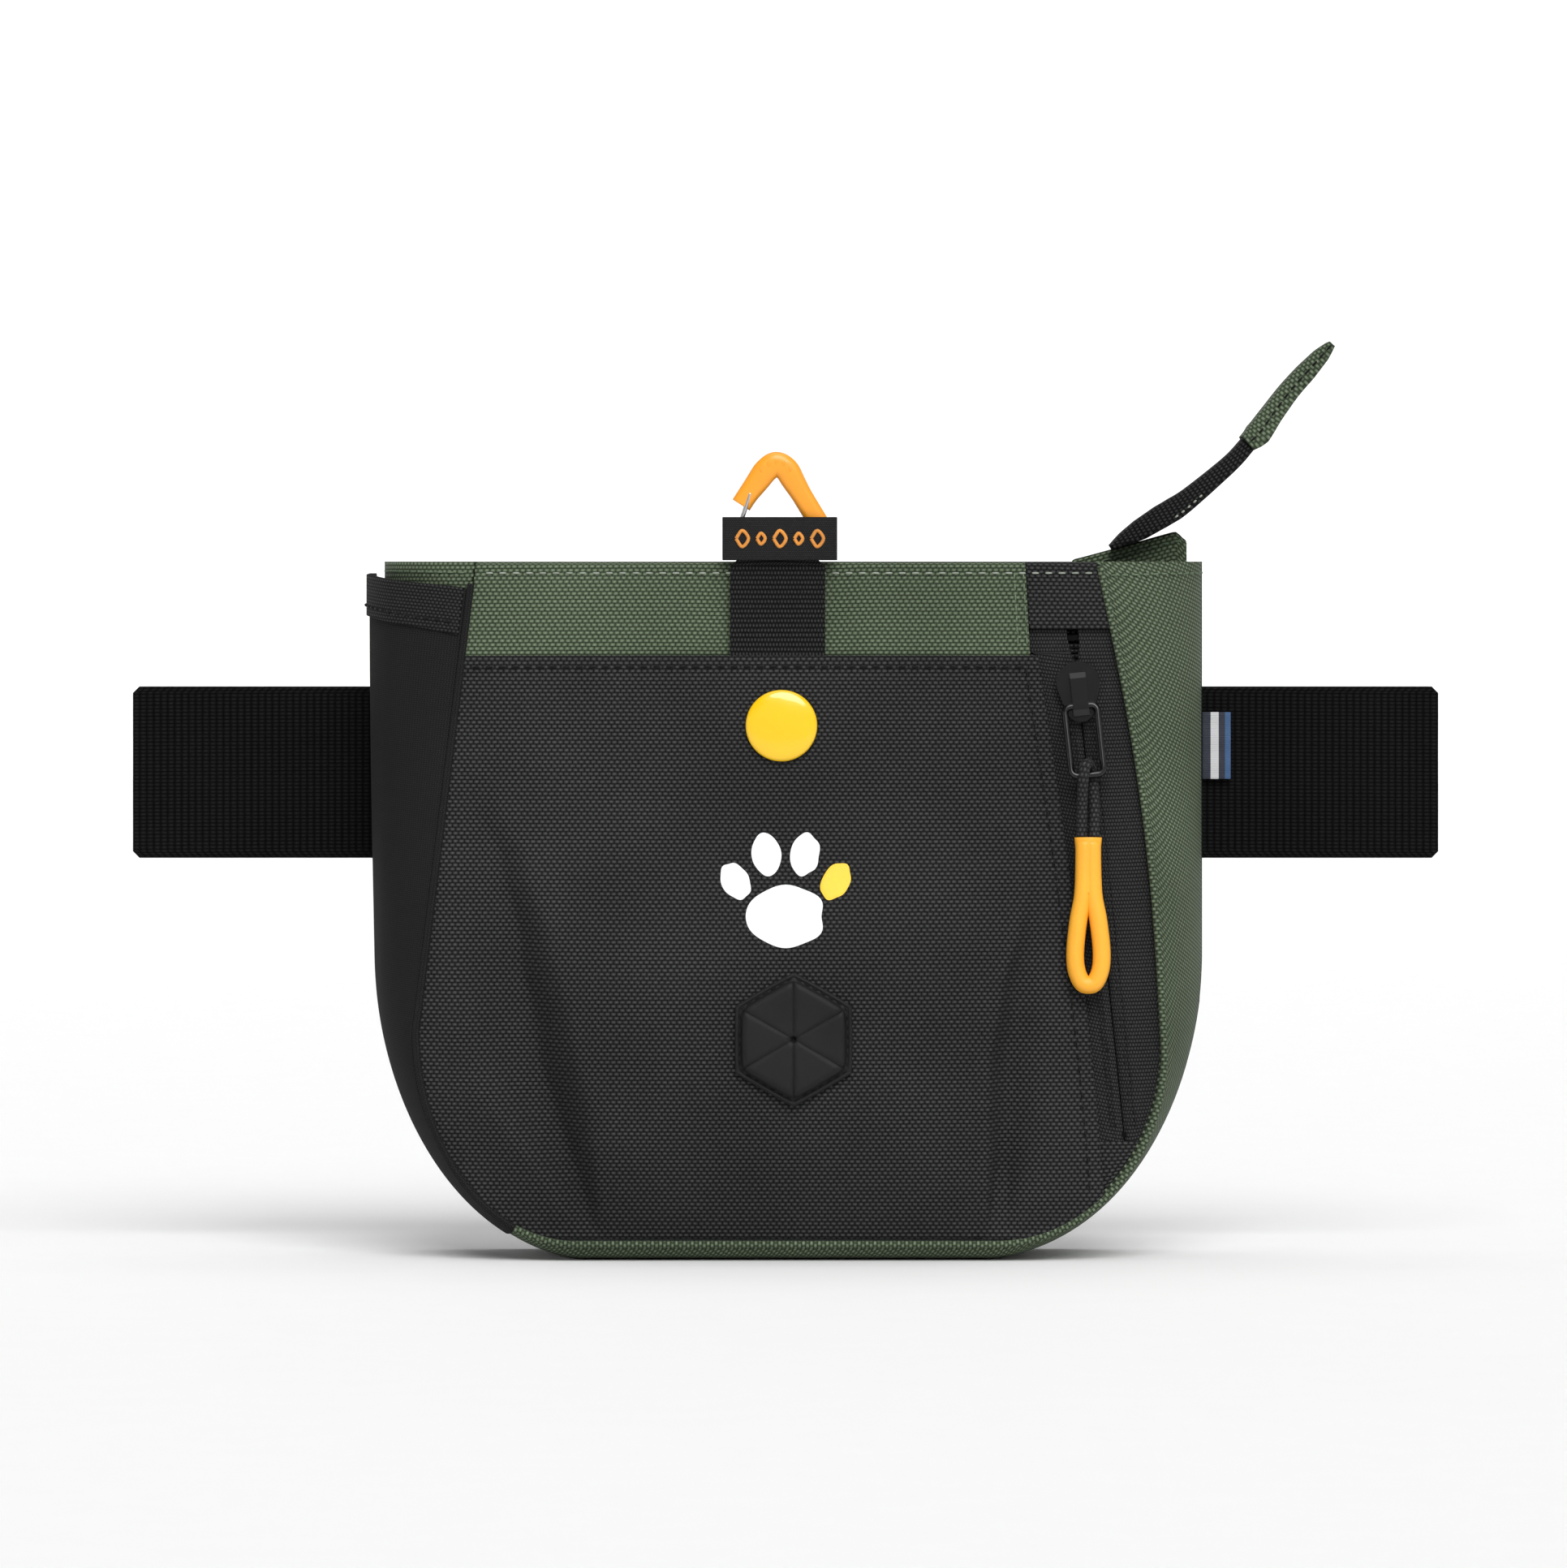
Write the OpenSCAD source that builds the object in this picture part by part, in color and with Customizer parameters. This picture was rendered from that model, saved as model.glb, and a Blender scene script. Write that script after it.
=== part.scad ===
// Waist-worn treat pouch: a soft bag with a hinged mouth, a snapped front pocket
// with a bag dispenser, a zipped pocket, a gear clip, a pull tab and a waist belt.
// Millimetres. +Z is up and -Y is the front. The origin is on the resting face.

/* [Body] */
// Height of the bag from its base to its rim
body_h = 167.3; // [150:0.1:185]
// Half width of the back panel
back_half = 101.2; // [90:0.1:110]
// Half width of the front face at the rim
front_top_half = 75; // [70:0.1:80]
// Half width of the front face at its widest
front_low_half = 90; // [85:0.1:92]
// Where the back panel's outer face is, behind the origin
back_y = 22; // [18:0.1:28]
// Where the front face meets the base line, ahead of the origin
front_y = -24; // [-30:0.1:-20]
// How far the front face leans back, in degrees
lean = 4.1; // [3:0.1:5]
// Thickness of a coated fabric wall
wall = 1.4; // [1:0.1:1.6]

/* [Front pocket] */
// Height of the pocket's top edge, measured up the front face
pocket_w = 145; // [140:0.5:148]
// How far the filled pocket stands out
pocket_bulge = 15; // [12:0.5:18]
// Thickness of the pocket's fabric
pocket_t = 1.2; // [0.8:0.1:1.4]
// Radius of the snap's cap
snap_r = 8.6; // [7:0.1:9.5]
// Height of the snap up the front face
snap_w = 128; // [126:0.5:130]
// Circumradius of the bag dispenser's flange
dispenser_r = 16; // [14:0.5:18]

/* [Zip] */
// Height of the zip's upper end up the front face
zip_top_w = 148.5; // [146:0.5:150]
// Height of the zip's lower end up the front face
zip_low_w = 29; // [26:0.5:34]
// Width of the slider's head
slider_w = 10.4; // [9:0.1:11]
// Length of the puller's wire loop
puller_len = 19; // [17:0.5:20]
// Length of the moulded grip
grip_len = 37.4; // [34:0.1:40]

/* [Belt] */
// Length of the belt strap
belt_len = 313; // [300:1:400]
// Width of the belt strap
belt_w = 40; // [38:0.5:42]
// Thickness of the belt strap
belt_t = 1.8; // [1.4:0.1:2]
// Height of the belt's middle
belt_z = 116; // [112:1:120]
// Width of the sleeve that holds the belt
sleeve_w = 116; // [100:1:150]

/* [Hidden] */
fine = 64;
gap = 0.3;

// ---- Outline of the front face and of the back panel ----
front_base_w = 4;
corner_w = 55;
corner_x = 50;
corner_power = 2.25;
back_corner_z = 72;
left_narrowing = 3;
side_steps = 8;
corner_steps = 9;
flat_steps = 2;
gusset_start = 20;

function mix(a, b, t) = a + (b - a) * t;
function ease(t) = t * t * (3 - 2 * t);
function clamp01(t) = min(1, max(0, t));

// A point of the front face's own frame: x, distance up the face, distance out of it
function on_front(x, w, n) = [
    x,
    front_y + w * sin(lean) - n * cos(lean),
    w * cos(lean) + n * sin(lean)
];
module front_frame() translate([0, front_y, 0]) rotate([90 - lean, 0, 0]) children();

rim_w = body_h / cos(lean);

// Half width of the front face at height w
function front_half(w) =
    w >= corner_w
    ? mix(front_top_half, front_low_half, ease((rim_w - w) / (rim_w - corner_w)))
    : corner_x + (front_low_half - corner_x) * pow(
        1 - pow(min(1, (corner_w - w) / (corner_w - front_base_w)), corner_power),
        1 / corner_power);

// Half width at height w of the same outline drawn in by inset all round
function inset_half(w, inset) =
    w >= corner_w
    ? front_half(w) - inset
    : corner_x + (front_low_half - corner_x - inset) * pow(
        1 - pow(min(1, (corner_w - w) / (corner_w - front_base_w - inset)), corner_power),
        1 / corner_power);

// One quarter of an outline, from the rim down to the middle of the base.
// Each entry is [half width, height], drawn in by inset.
function front_quarter(inset) = concat(
    [for (i = [0 : side_steps - 1])
        let (w = mix(rim_w, corner_w, i / side_steps)) [front_half(w) - inset, w]],
    [for (i = [0 : corner_steps])
        let (a = 90 * i / corner_steps, p = 2 / corner_power)
        [corner_x + (front_low_half - corner_x - inset) * pow(cos(a), p),
         corner_w - (corner_w - front_base_w - inset) * pow(sin(a), p)]],
    [for (i = [1 : flat_steps]) [corner_x * (1 - i / flat_steps), front_base_w + inset]]
);
function back_quarter(inset, half) = concat(
    [for (i = [0 : side_steps - 1])
        [half - inset, mix(body_h, back_corner_z, i / side_steps)]],
    [for (i = [0 : corner_steps])
        let (a = 90 * i / corner_steps)
        [corner_x + (half - corner_x - inset) * cos(a),
         back_corner_z - (back_corner_z - inset) * sin(a)]],
    [for (i = [1 : flat_steps]) [corner_x * (1 - i / flat_steps), inset]]
);
function mirrored(side, quarter) = [for (p = quarter) [side * p[0], p[1]]];
function reversed(list) = [for (i = [len(list) - 1 : -1 : 0]) list[i]];
function but_last(list) = [for (i = [0 : len(list) - 2]) list[i]];

function front_outline(inset) = concat(
    mirrored(-1, front_quarter(inset)), reversed(but_last(mirrored(1, front_quarter(inset)))));
function back_outline(inset) = concat(
    mirrored(-1, back_quarter(inset, back_half - left_narrowing)),
    reversed(but_last(mirrored(1, back_quarter(inset, back_half)))));

// ---- The gusset: a strip from the front outline to the back one ----
last_quarter = side_steps + corner_steps + flat_steps;
last_station = 2 * last_quarter;
seam_station = side_steps + corner_steps - 3;

// How far a strip point has gone outward and backward, for s from 0 at the front to 1
function strip_angle(s) = mix(gusset_start, 90, s);
function strip_out(s) = (sin(strip_angle(s)) - sin(gusset_start)) / (1 - sin(gusset_start));
function strip_back(s) = (cos(gusset_start) - cos(strip_angle(s))) / cos(gusset_start);
function strip_down(s) = 1 - pow(1 - strip_out(s), 6);

// Both outlines change evenly with their inset, so two of each give every other one
front_flush = front_outline(0);
front_drawn = front_outline(1);
back_flush = back_outline(0);
back_drawn = back_outline(1);
function strip_point(k, s, inset) =
    let (f = mix(front_flush[k], front_drawn[k], inset),
         b = mix(back_flush[k], back_drawn[k], inset),
         from_middle = abs(k - last_quarter),
         under = clamp01(1 - (from_middle - flat_steps) / corner_steps),
         p = on_front(f[0], f[1], 0),
         down = mix(strip_out(s), strip_down(s), pow(under, 3)))
    [mix(p[0], b[0], strip_out(s)), mix(p[1], gusset_end_y, strip_back(s)), mix(p[2], b[1], down)];

strip_steps = 8;
gusset_end_y = back_y - 2;
function strip_grid(k0, k1, inset, s0, s1) = [
    for (k = [k0 : k1]) [for (j = [0 : strip_steps])
        strip_point(k, mix(s0, s1, j / strip_steps), inset)]
];

// A closed skin between two grids of points of the same size
module skin(outer, inner) {
    rows = len(outer);
    cols = len(outer[0]);
    n = rows * cols;
    points = concat([for (r = outer) each r], [for (r = inner) each r]);
    faces = concat(
        [for (i = [0 : rows - 2], j = [0 : cols - 2]) each
            let (a = i * cols + j, b = a + 1, c = a + cols, d = c + 1)
            [[a, c, d], [a, d, b], [n + a, n + d, n + c], [n + a, n + b, n + d]]],
        [for (j = [0 : cols - 2]) each
            let (a = j, b = j + 1, c = (rows - 1) * cols + j, d = c + 1)
            [[a, b, n + b], [a, n + b, n + a], [c, n + d, d], [c, n + c, n + d]]],
        [for (i = [0 : rows - 2]) each
            let (a = i * cols, c = a + cols, b = a + cols - 1, d = c + cols - 1)
            [[a, n + c, c], [a, n + a, n + c], [b, d, n + d], [b, n + d, n + b]]]
    );
    polyhedron(points, faces, convexity = 6);
}

module gusset_part(k0, k1) skin(
    strip_grid(k0, k1, 0, 0, 1),
    strip_grid(k0, k1, wall, 0, 1));

module left_gusset() color("darkolivegreen") gusset_part(0, seam_station);
module right_gusset() color("darkolivegreen")
    gusset_part(last_station - seam_station, last_station);
module bottom_gusset() color("darkolivegreen") difference() {
    translate([0, 0, -0.1]) gusset_part(seam_station, last_station - seam_station);
    translate([-back_half, front_y, -20]) cube([2 * back_half, 2 * back_half, 20]);
}

liner_start = 0.34;
liner_end = 0.92;
module gusset_liner() color("gainsboro") skin(
    strip_grid(0, last_station, wall + 1, liner_start, liner_end),
    strip_grid(0, last_station, wall + 1.6, liner_start, liner_end));

// ---- Back wall, its lining, stay and belt sleeve ----
module upright(y, t) translate([0, y, 0]) rotate([90, 0, 0]) linear_extrude(t) children();

back_t = 1.8;
module back_panel() color([0.13, 0.13, 0.14]) upright(back_y, back_t)
    polygon(back_outline(0));
module back_liner() color("gainsboro") upright(18.2 + 0.7, 0.7)
    polygon([for (p = back_outline(3.2)) [p[0], min(p[1], body_h - 1)]]);

stay_h = 6;
stay_t = 0.8;
module back_stay() color("silver") translate([-88, 19.2, body_h - 9]) cube([176, stay_t, stay_h]);

sleeve_edge = 6;
sleeve_t = 1.2;
sleeve_room = belt_t + 1.4;
module belt_sleeve() color([0.1, 0.1, 0.11])
translate([-sleeve_w / 2, 0, belt_z]) rotate([90, 0, 90]) linear_extrude(sleeve_w) difference() {
    translate([back_y + 0.05, -belt_w / 2 - 2 - sleeve_edge])
        square([sleeve_room + sleeve_t, belt_w + 4 + 2 * sleeve_edge]);
    translate([back_y, -belt_w / 2 - 2]) square([sleeve_room, belt_w + 4]);
}

belt_y = back_y + 0.8;
belt_corner = 1.8;
module rounded_rect(w, h, r) hull() for (x = [-1, 1], y = [-1, 1])
    translate([x * (w / 2 - r), y * (h / 2 - r)]) circle(r, $fn = 32);
module belt_strap() color([0.07, 0.07, 0.07]) translate([0, belt_y + belt_t, belt_z])
    rotate([90, 0, 0]) linear_extrude(belt_t) rounded_rect(belt_len, belt_w, belt_corner);
label_h = 16.3;
label_out = 7;
module side_label() color("navy")
translate([back_half + 0.2, back_y - 1.4, belt_z + 6.5 - label_h / 2])
    cube([label_out, 0.7, label_h]);

// ---- Stretch pocket on the left side ----
stretch_bottom = seam_station;
stretch_gap = 0.35;
binding_h = 10.5;
function stretch_offset(k, s) =
    stretch_gap + 2.9 * ease(clamp01((1 - k / stretch_bottom) * 4)) * pow(sin(90 * s), 0.7);
// A point of the pocket's surface; k may lie between two stations
function stretch_station(k, s, extra) =
    let (d = stretch_offset(k, s) + extra)
    strip_point(k, s, -d) - [0, d * cos(strip_angle(s)), 0];
function stretch_point(k, s, extra) =
    let (k0 = min(floor(k), stretch_bottom - 1))
    mix(stretch_station(k0, s, extra), stretch_station(k0 + 1, s, extra), k - k0);
// The station that lies drop below the rim
function station_at(drop, s) =
    drop * side_steps / mix(body_h - corner_w * cos(lean), body_h - back_corner_z, strip_out(s));
// The upper edge slopes down to the front
function upper_edge(s) = mix(9.5, 4, s);
stretch_front = 0.04;
function stretch_row(drop, k, extra) = [for (j = [0 : strip_steps])
    let (s = mix(stretch_front, 1, j / strip_steps))
    stretch_point(k > 0 ? k : station_at(upper_edge(s) + drop, s), s, extra)];
function stretch_grid(extra) = [for (k = [0 : stretch_bottom]) stretch_row(0, k, extra)];
module stretch_pocket() color([0.1, 0.1, 0.1]) skin(stretch_grid(wall), stretch_grid(0));

binding_rows = 4;
binding_out = wall + 0.35;
function binding_grid(extra) = [for (i = [0 : binding_rows])
    stretch_row(mix(0.3, binding_h, i / binding_rows), 0, extra)];
module stretch_pocket_binding() color([0.15, 0.15, 0.16])
    skin(binding_grid(binding_out + 0.9), binding_grid(binding_out));

// ---- Flat layers of the front wall ----
panel_inset = wall + 0.5;
zip_top_x = 69.2;
zip_low_x = 81.2;
function zip_x(w) = mix(zip_top_x, zip_low_x, (zip_top_w - w) / (zip_top_w - zip_low_w));
// The pocket's free edge runs beside the zip and curves in toward the rim
pocket_low_x = 76.4;
pocket_slant = 15.8;
slant_from_w = 11;
function pocket_right(w) = pocket_low_x
    - pocket_slant * pow(clamp01((w - slant_from_w) / (pocket_w - slant_from_w)), 1.3);
function panel_half(w) = inset_half(w, panel_inset);

// Evenly spaced heights from w0 to w1
function rows(w0, w1, steps) = [for (i = [0 : steps]) mix(w0, w1, i / steps)];
module front_layer(n, t) front_frame() translate([0, 0, n]) linear_extrude(t) children();

front_low_w = front_base_w + wall + 0.6;
module front_shape(inset, top) polygon([for (p = front_outline(inset)) [p[0], min(p[1], top)]]);

inner_panel_n = -5.6;
module inner_panel() color([0.2, 0.2, 0.21]) front_layer(inner_panel_n, 1)
    front_shape(panel_inset + 0.8, rim_w);
module front_liner() color("gainsboro") front_layer(inner_panel_n - 0.9, 0.7)
    front_shape(panel_inset + 1.6, rim_w - 1);

front_panel_n = -2.4;
panel_rows = rows(rim_w, front_low_w + 2, 16);
module front_panel() color([0.13, 0.13, 0.14]) front_layer(front_panel_n, 1.2) polygon(concat(
    [for (w = panel_rows) [-panel_half(w), w]],
    [for (w = reversed(panel_rows)) [min(pocket_right(w), panel_half(w)), w]]));
stay_half = 70;
module front_stay() color("silver") front_layer(-3.6, stay_t)
    translate([-stay_half, rim_w - 9]) square([2 * stay_half, stay_h]);

band_right = 58;
band_slope = 0.05;
module rim_band() color("darkolivegreen") front_layer(-1, 1) polygon([
    [-panel_half(pocket_w + gap), pocket_w + gap], [-panel_half(rim_w), rim_w],
    [band_right, rim_w], [band_right + band_slope * (rim_w - pocket_w), pocket_w + gap]]);

strap_x = -1.9;
strap_w = 22.8;
module web_strap() color([0.09, 0.09, 0.1]) front_layer(0.06, 1.2)
    translate([strap_x - strap_w / 2, pocket_w + gap]) square([strap_w, rim_w - pocket_w - gap]);

foot_low = 17.6;
zip_gap = 0.8;
patch_low = 151.5;
module zip_head_patch() color([0.13, 0.13, 0.14]) front_layer(-1, 1) polygon([
    [band_right + gap, rim_w], [panel_half(rim_w), rim_w],
    [panel_half(patch_low), patch_low],
    [band_right + gap + band_slope * (rim_w - patch_low), patch_low]]);
module zip_foot_patch() color([0.13, 0.13, 0.14]) front_layer(-1, 1) polygon(concat(
    [for (w = rows(zip_low_w - gap, foot_low, 6)) [pocket_right(w) + gap, w]],
    [for (w = rows(foot_low, zip_low_w - gap, 6)) [panel_half(w), w]]));

tape_rows = rows(patch_low - gap, zip_low_w, 14);
function tape_left(w) = w > pocket_w
    ? band_right + 2 * gap + band_slope * (rim_w - w)
    : pocket_right(w) + gap;
module zip_tape_inner() color([0.11, 0.11, 0.11]) front_layer(-1, 1) polygon(concat(
    [for (w = tape_rows) [tape_left(w), w]],
    [for (w = reversed(tape_rows)) [zip_x(w) - zip_gap, w]]));
module zip_tape_outer() color([0.11, 0.11, 0.11]) front_layer(-1, 1) polygon(concat(
    [for (w = tape_rows) [zip_x(w) + zip_gap, w]],
    [for (w = reversed(tape_rows)) [panel_half(w), w]]));

zip_tilt = atan((zip_x(zip_low_w) - zip_x(zip_top_w)) / (zip_top_w - zip_low_w));
slider_top_w = 142;
// A frame on the zip line: X across, Y back up the zip, Z out of the front
module zip_frame(w) front_frame() translate([zip_x(w), w, 0]) rotate(zip_tilt) children();

coil_w = 1.6;
coil_len = (zip_top_w - zip_low_w) / cos(zip_tilt) - 3;
module zip_coils() color([0.08, 0.08, 0.08]) zip_frame(zip_top_w) for (side = [-1, 1])
    translate([side * (zip_gap + coil_w / 2) - coil_w / 2, -coil_len - 1, -2.15])
        cube([coil_w, coil_len, 1.1]);
module zip_end_stops() color([0.08, 0.08, 0.08]) zip_frame(zip_top_w)
    for (y = [-coil_len - 2.4, 0.4]) translate([-2.6, y, -2.1]) cube([5.2, 1.2, 1]);

// ---- Slider, puller, cord and grip ----
slider_len = 13;
post_w = 1;
module slider_plan() hull() {
    translate([0, -3.6]) circle(slider_w / 2, $fn = fine);
    translate([0, -slider_len + 3.4]) circle(3.4, $fn = fine);
}
module slider_body() color([0.12, 0.12, 0.13]) zip_frame(slider_top_w) union() {
    translate([0, 0, 0.25]) linear_extrude(1) slider_plan();
    translate([0, 0, -3.4]) linear_extrude(1) slider_plan();
    translate([-post_w / 2, -4.6, -3.2]) cube([post_w, 4.6, 4.2]);
}

bridge_w = 3.8;
bridge_top = 4.5;
pivot_y = -9.2;
pivot_n = 2.75;
wire_r = 0.8;
module slider_bridge() color([0.14, 0.14, 0.15]) zip_frame(slider_top_w)
translate([bridge_w / 2, 0, 0]) rotate([0, -90, 0]) linear_extrude(bridge_w) difference() {
    polygon([[1.3, -1.6], [3.2, -1.2], [bridge_top, -2.6], [bridge_top, -10.2], [3.6, -11.6],
             [1.3, -11.8]]);
    translate([pivot_n, pivot_y]) circle(wire_r + 0.1, $fn = fine);
}

module rod(a, b, r) {
    d = b - a;
    translate(a) rotate([0, acos(d[2] / norm(d)), atan2(d[1], d[0])])
        cylinder(h = norm(d), r = r, $fn = 32);
}
// A round wire through a list of points
module wire(points, r) {
    for (i = [0 : len(points) - 2]) rod(points[i], points[i + 1], r);
    for (p = points) translate(p) sphere(r, $fn = 32);
}
pull_lift = 8;
low_bar = -puller_len + 2;
// A frame at the puller's pivot, lifted away from the front
module puller_frame() zip_frame(slider_top_w) translate([0, pivot_y, pivot_n])
    rotate([-pull_lift, 0, 0]) children();
puller_bend = 1.6;
module quarter_bend(x, y, turn) translate([x, y, 0]) rotate(turn)
    rotate_extrude(angle = 90, $fn = fine) translate([puller_bend, 0]) circle(wire_r, $fn = fine);
puller_side = 3.9;
module puller_loop() color([0.12, 0.12, 0.13]) puller_frame() union() {
    inner = puller_side - puller_bend;
    for (y = [0, low_bar]) translate([-inner, y, 0]) rotate([0, 90, 0])
        cylinder(h = 2 * inner, r = wire_r, $fn = fine);
    for (side = [-1, 1]) translate([side * puller_side, -puller_bend, 0]) rotate([90, 0, 0])
        cylinder(h = -low_bar - 2 * puller_bend, r = wire_r, $fn = fine);
    quarter_bend(inner, -puller_bend, 0);
    quarter_bend(-inner, -puller_bend, 90);
    quarter_bend(-inner, low_bar + puller_bend, 180);
    quarter_bend(inner, low_bar + puller_bend, 270);
}

// The cord runs up from the grip, round the puller's lower bar and back down
cord_r = 1.3;
cord_path = [
    [-1.5, 18, 0], [-1.5, 13, 0], [-1.5, 8, 0.6], [-1.4, 4, 1.8], [-1.2, 1, 2.5],
    [-0.8, -1.6, 2.0], [-0.3, -2.6, 0.8], [0.3, -2.6, -0.8], [0.8, -1.6, -2.0], [1.2, 1, -2.5],
    [1.4, 4, -1.8], [1.5, 8, -0.6], [1.5, 13, 0], [1.5, 18, 0]
];
function unit(v) = v / norm(v);
function tangent(path, i) = unit(path[min(i + 1, len(path) - 1)] - path[max(i - 1, 0)]);
// A round tube along a path, closed at both ends
module tube(path, r, sides) {
    rings = [for (i = [0 : len(path) - 1])
        let (t = tangent(path, i), u = unit(cross(t, [0.05, 0.1, 1])), v = cross(t, u))
        [for (k = [0 : sides - 1]) path[i] + r * (cos(360 * k / sides) * u + sin(360 * k / sides) * v)]];
    last = (len(path) - 1) * sides;
    faces = concat(
        [for (i = [0 : len(path) - 2], k = [0 : sides - 1]) each
            let (a = i * sides + k, b = i * sides + (k + 1) % sides)
            [[a, b + sides, b], [a, a + sides, b + sides]]],
        [[for (k = [0 : sides - 1]) k], [for (k = [sides - 1 : -1 : 0]) last + k]]);
    polyhedron([for (ring = rings) each ring], faces, convexity = 6);
}
// A frame at the puller's lower bar, X across, Y down the cord, Z out of the front
module pull_frame() puller_frame() translate([0, low_bar, 0]) rotate([pull_lift, 0, 0])
    rotate([0, 0, -zip_tilt]) mirror([0, 1, 0]) children();
module pull_cord() color([0.1, 0.1, 0.1]) pull_frame() tube(cord_path, cord_r, 8);

grip_top = 15;
grip_wide = 5.3;
grip_t = 4.3;
grip_z = 0;
grip_socket = 4.2;
// A rounded bar that opens into a teardrop eye
module grip_plan() {
    end = grip_top + grip_len;
    difference() {
        hull() {
            translate([0, grip_top + 3.3]) circle(3.3, $fn = 32);
            translate([0, end - grip_wide]) circle(grip_wide, $fn = 32);
        }
        hull() {
            translate([0, grip_top + 16]) circle(0.5, $fn = 32);
            translate([0, end - grip_wide]) circle(1.2, $fn = 32);
        }
    }
}
module pull_grip() color("orange") pull_frame() difference() {
    translate([0, 0, grip_z - grip_t / 2]) linear_extrude(grip_t) grip_plan();
    for (side = [-1, 1]) translate([side * 1.6, grip_top - 1, 0]) rotate([-90, 0, 0])
        cylinder(h = grip_socket + 1, r = cord_r + 0.1, $fn = 32);
}

// ---- Front pocket, its hem, dispenser and snap ----
function pocket_rise(w) = sin(90 * clamp01((w - front_low_w) / 38));
// The bulge dies away below the snap, stays level under it and closes at the hem
snap_level = 3;
level_w0 = 116;
level_w1 = 137.5;
hem_level = 1.3;
function pocket_fall(w) =
    w < level_w1
    ? mix(1, snap_level / pocket_bulge, ease(clamp01((w - 66) / (level_w0 - 66))))
    : mix(snap_level, hem_level, ease(clamp01((w - level_w1) / (pocket_w - level_w1)))) / pocket_bulge;
function pocket_n(a, w) = pocket_bulge * (1 - pow(abs(a), 3)) * pocket_rise(w) * pocket_fall(w);
pocket_relief = 4.6;
function pocket_x(a, w) = mix(-panel_half(w),
    min(pocket_right(w), panel_half(w)) - pocket_relief, (a + 1) / 2);
pocket_cols = 16;
hem_h = 3;
pocket_rows = concat([pocket_w], rows(pocket_w - hem_h, front_low_w + 0.2, 18));
function pocket_grid(depth) = [for (w = pocket_rows) [for (j = [0 : pocket_cols])
    let (a = mix(-1, 1, j / pocket_cols))
    on_front(pocket_x(a, w), w, pocket_n(a, w) - depth)]];
module pocket_panel() color([0.13, 0.13, 0.14]) difference() {
    skin(pocket_grid(pocket_t), pocket_grid(0));
    pocket_at(snap_x, snap_w, -10) cylinder(h = 30, r = 2.3, $fn = fine);
    pocket_at(dispenser_x, dispenser_w, -2) cylinder(h = 30, r = 11, $fn = fine);
}
module pocket_at(x, w, n) front_frame() translate([x, w, n]) children();

// A folded strip along the pocket's top edge
function hem_grid(depth) = [for (i = [0, 1]) pocket_grid(depth)[i]];
module pocket_hem() color([0.16, 0.16, 0.17]) skin(hem_grid(-0.05), hem_grid(-0.5));

snap_x = -1;
snap_n = 3.2;
module snap_cap() color("gold") pocket_at(snap_x, snap_w, snap_n) rotate_extrude($fn = fine)
    polygon(concat([[0, 0]], [for (i = [0 : 6]) let (a = 15 * i)
        [snap_r - 1.1 + 1.1 * cos(a), 0.9 + 1.1 * sin(a) * 0.8]], [[0, 2.1]]));
module snap_socket() color("silver") pocket_at(snap_x, snap_w, 0) difference() {
    union() {
        translate([0, 0, -0.5]) cylinder(h = 1.7, r = 5.4, $fn = fine);
        cylinder(h = snap_n - 0.02, r = 2.1, $fn = fine);
    }
    translate([0, 0, -0.6]) cylinder(h = 1.5, r = 3, $fn = fine);
}
module snap_stud() color("silver") pocket_at(snap_x, snap_w, -1.15) union() {
    cylinder(h = 0.35, r = 5.4, $fn = fine);
    cylinder(h = 1.7, r = 2.5, $fn = fine);
}

dispenser_x = 1.9;
dispenser_w = 52.5;
flap_r = 13;
module hexagon(r) rotate(30) circle(r, $fn = 6);
module bag_dispenser() color([0.1, 0.1, 0.1]) pocket_at(dispenser_x, dispenser_w, pocket_bulge + 0.1)
difference() {
    union() {
        linear_extrude(1) hexagon(dispenser_r);
        linear_extrude(2) hexagon(flap_r);
    }
    translate([0, 0, 1.2]) linear_extrude(2) hexagon(flap_r - 1.2);
    for (a = [0 : 60 : 300]) rotate(a) translate([-0.2, 0.9, -1]) cube([0.4, flap_r - 2.6, 4]);
    translate([0, 0, -1]) cylinder(h = 4, r = 1.1, $fn = fine);
}

// ---- Web loop, label and gear clip above the rim ----
rim_point = on_front(strap_x, rim_w, -0.5);
bar_x0 = -12.8;
bar_x1 = 11;
bar_z = body_h + 4.2;
bar_r = 1.8;
loop_w = 15;
loop_t = 1.2;
loop_in = bar_r + 0.4;
module loop_slice() difference() {
    union() {
        translate([0, bar_z]) circle(loop_in + loop_t, $fn = fine);
        translate([-loop_in - loop_t, body_h + gap]) square([2 * (loop_in + loop_t), bar_z - body_h - gap]);
    }
    translate([0, bar_z]) circle(loop_in, $fn = fine);
    translate([-loop_in, 0]) square([2 * loop_in, bar_z]);
}
module web_loop() color([0.09, 0.09, 0.1]) translate([strap_x - loop_w / 2, rim_point[1], 0])
    rotate([90, 0, 90]) linear_extrude(loop_w) loop_slice();

woven_w = 27.6;
woven_h = 10.7;
module woven_label() color([0.06, 0.06, 0.06])
translate([strap_x - woven_w / 2 + 0.5, rim_point[1] - loop_in - loop_t - 0.75, body_h + gap])
    cube([woven_w, 0.6, woven_h - gap]);

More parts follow.
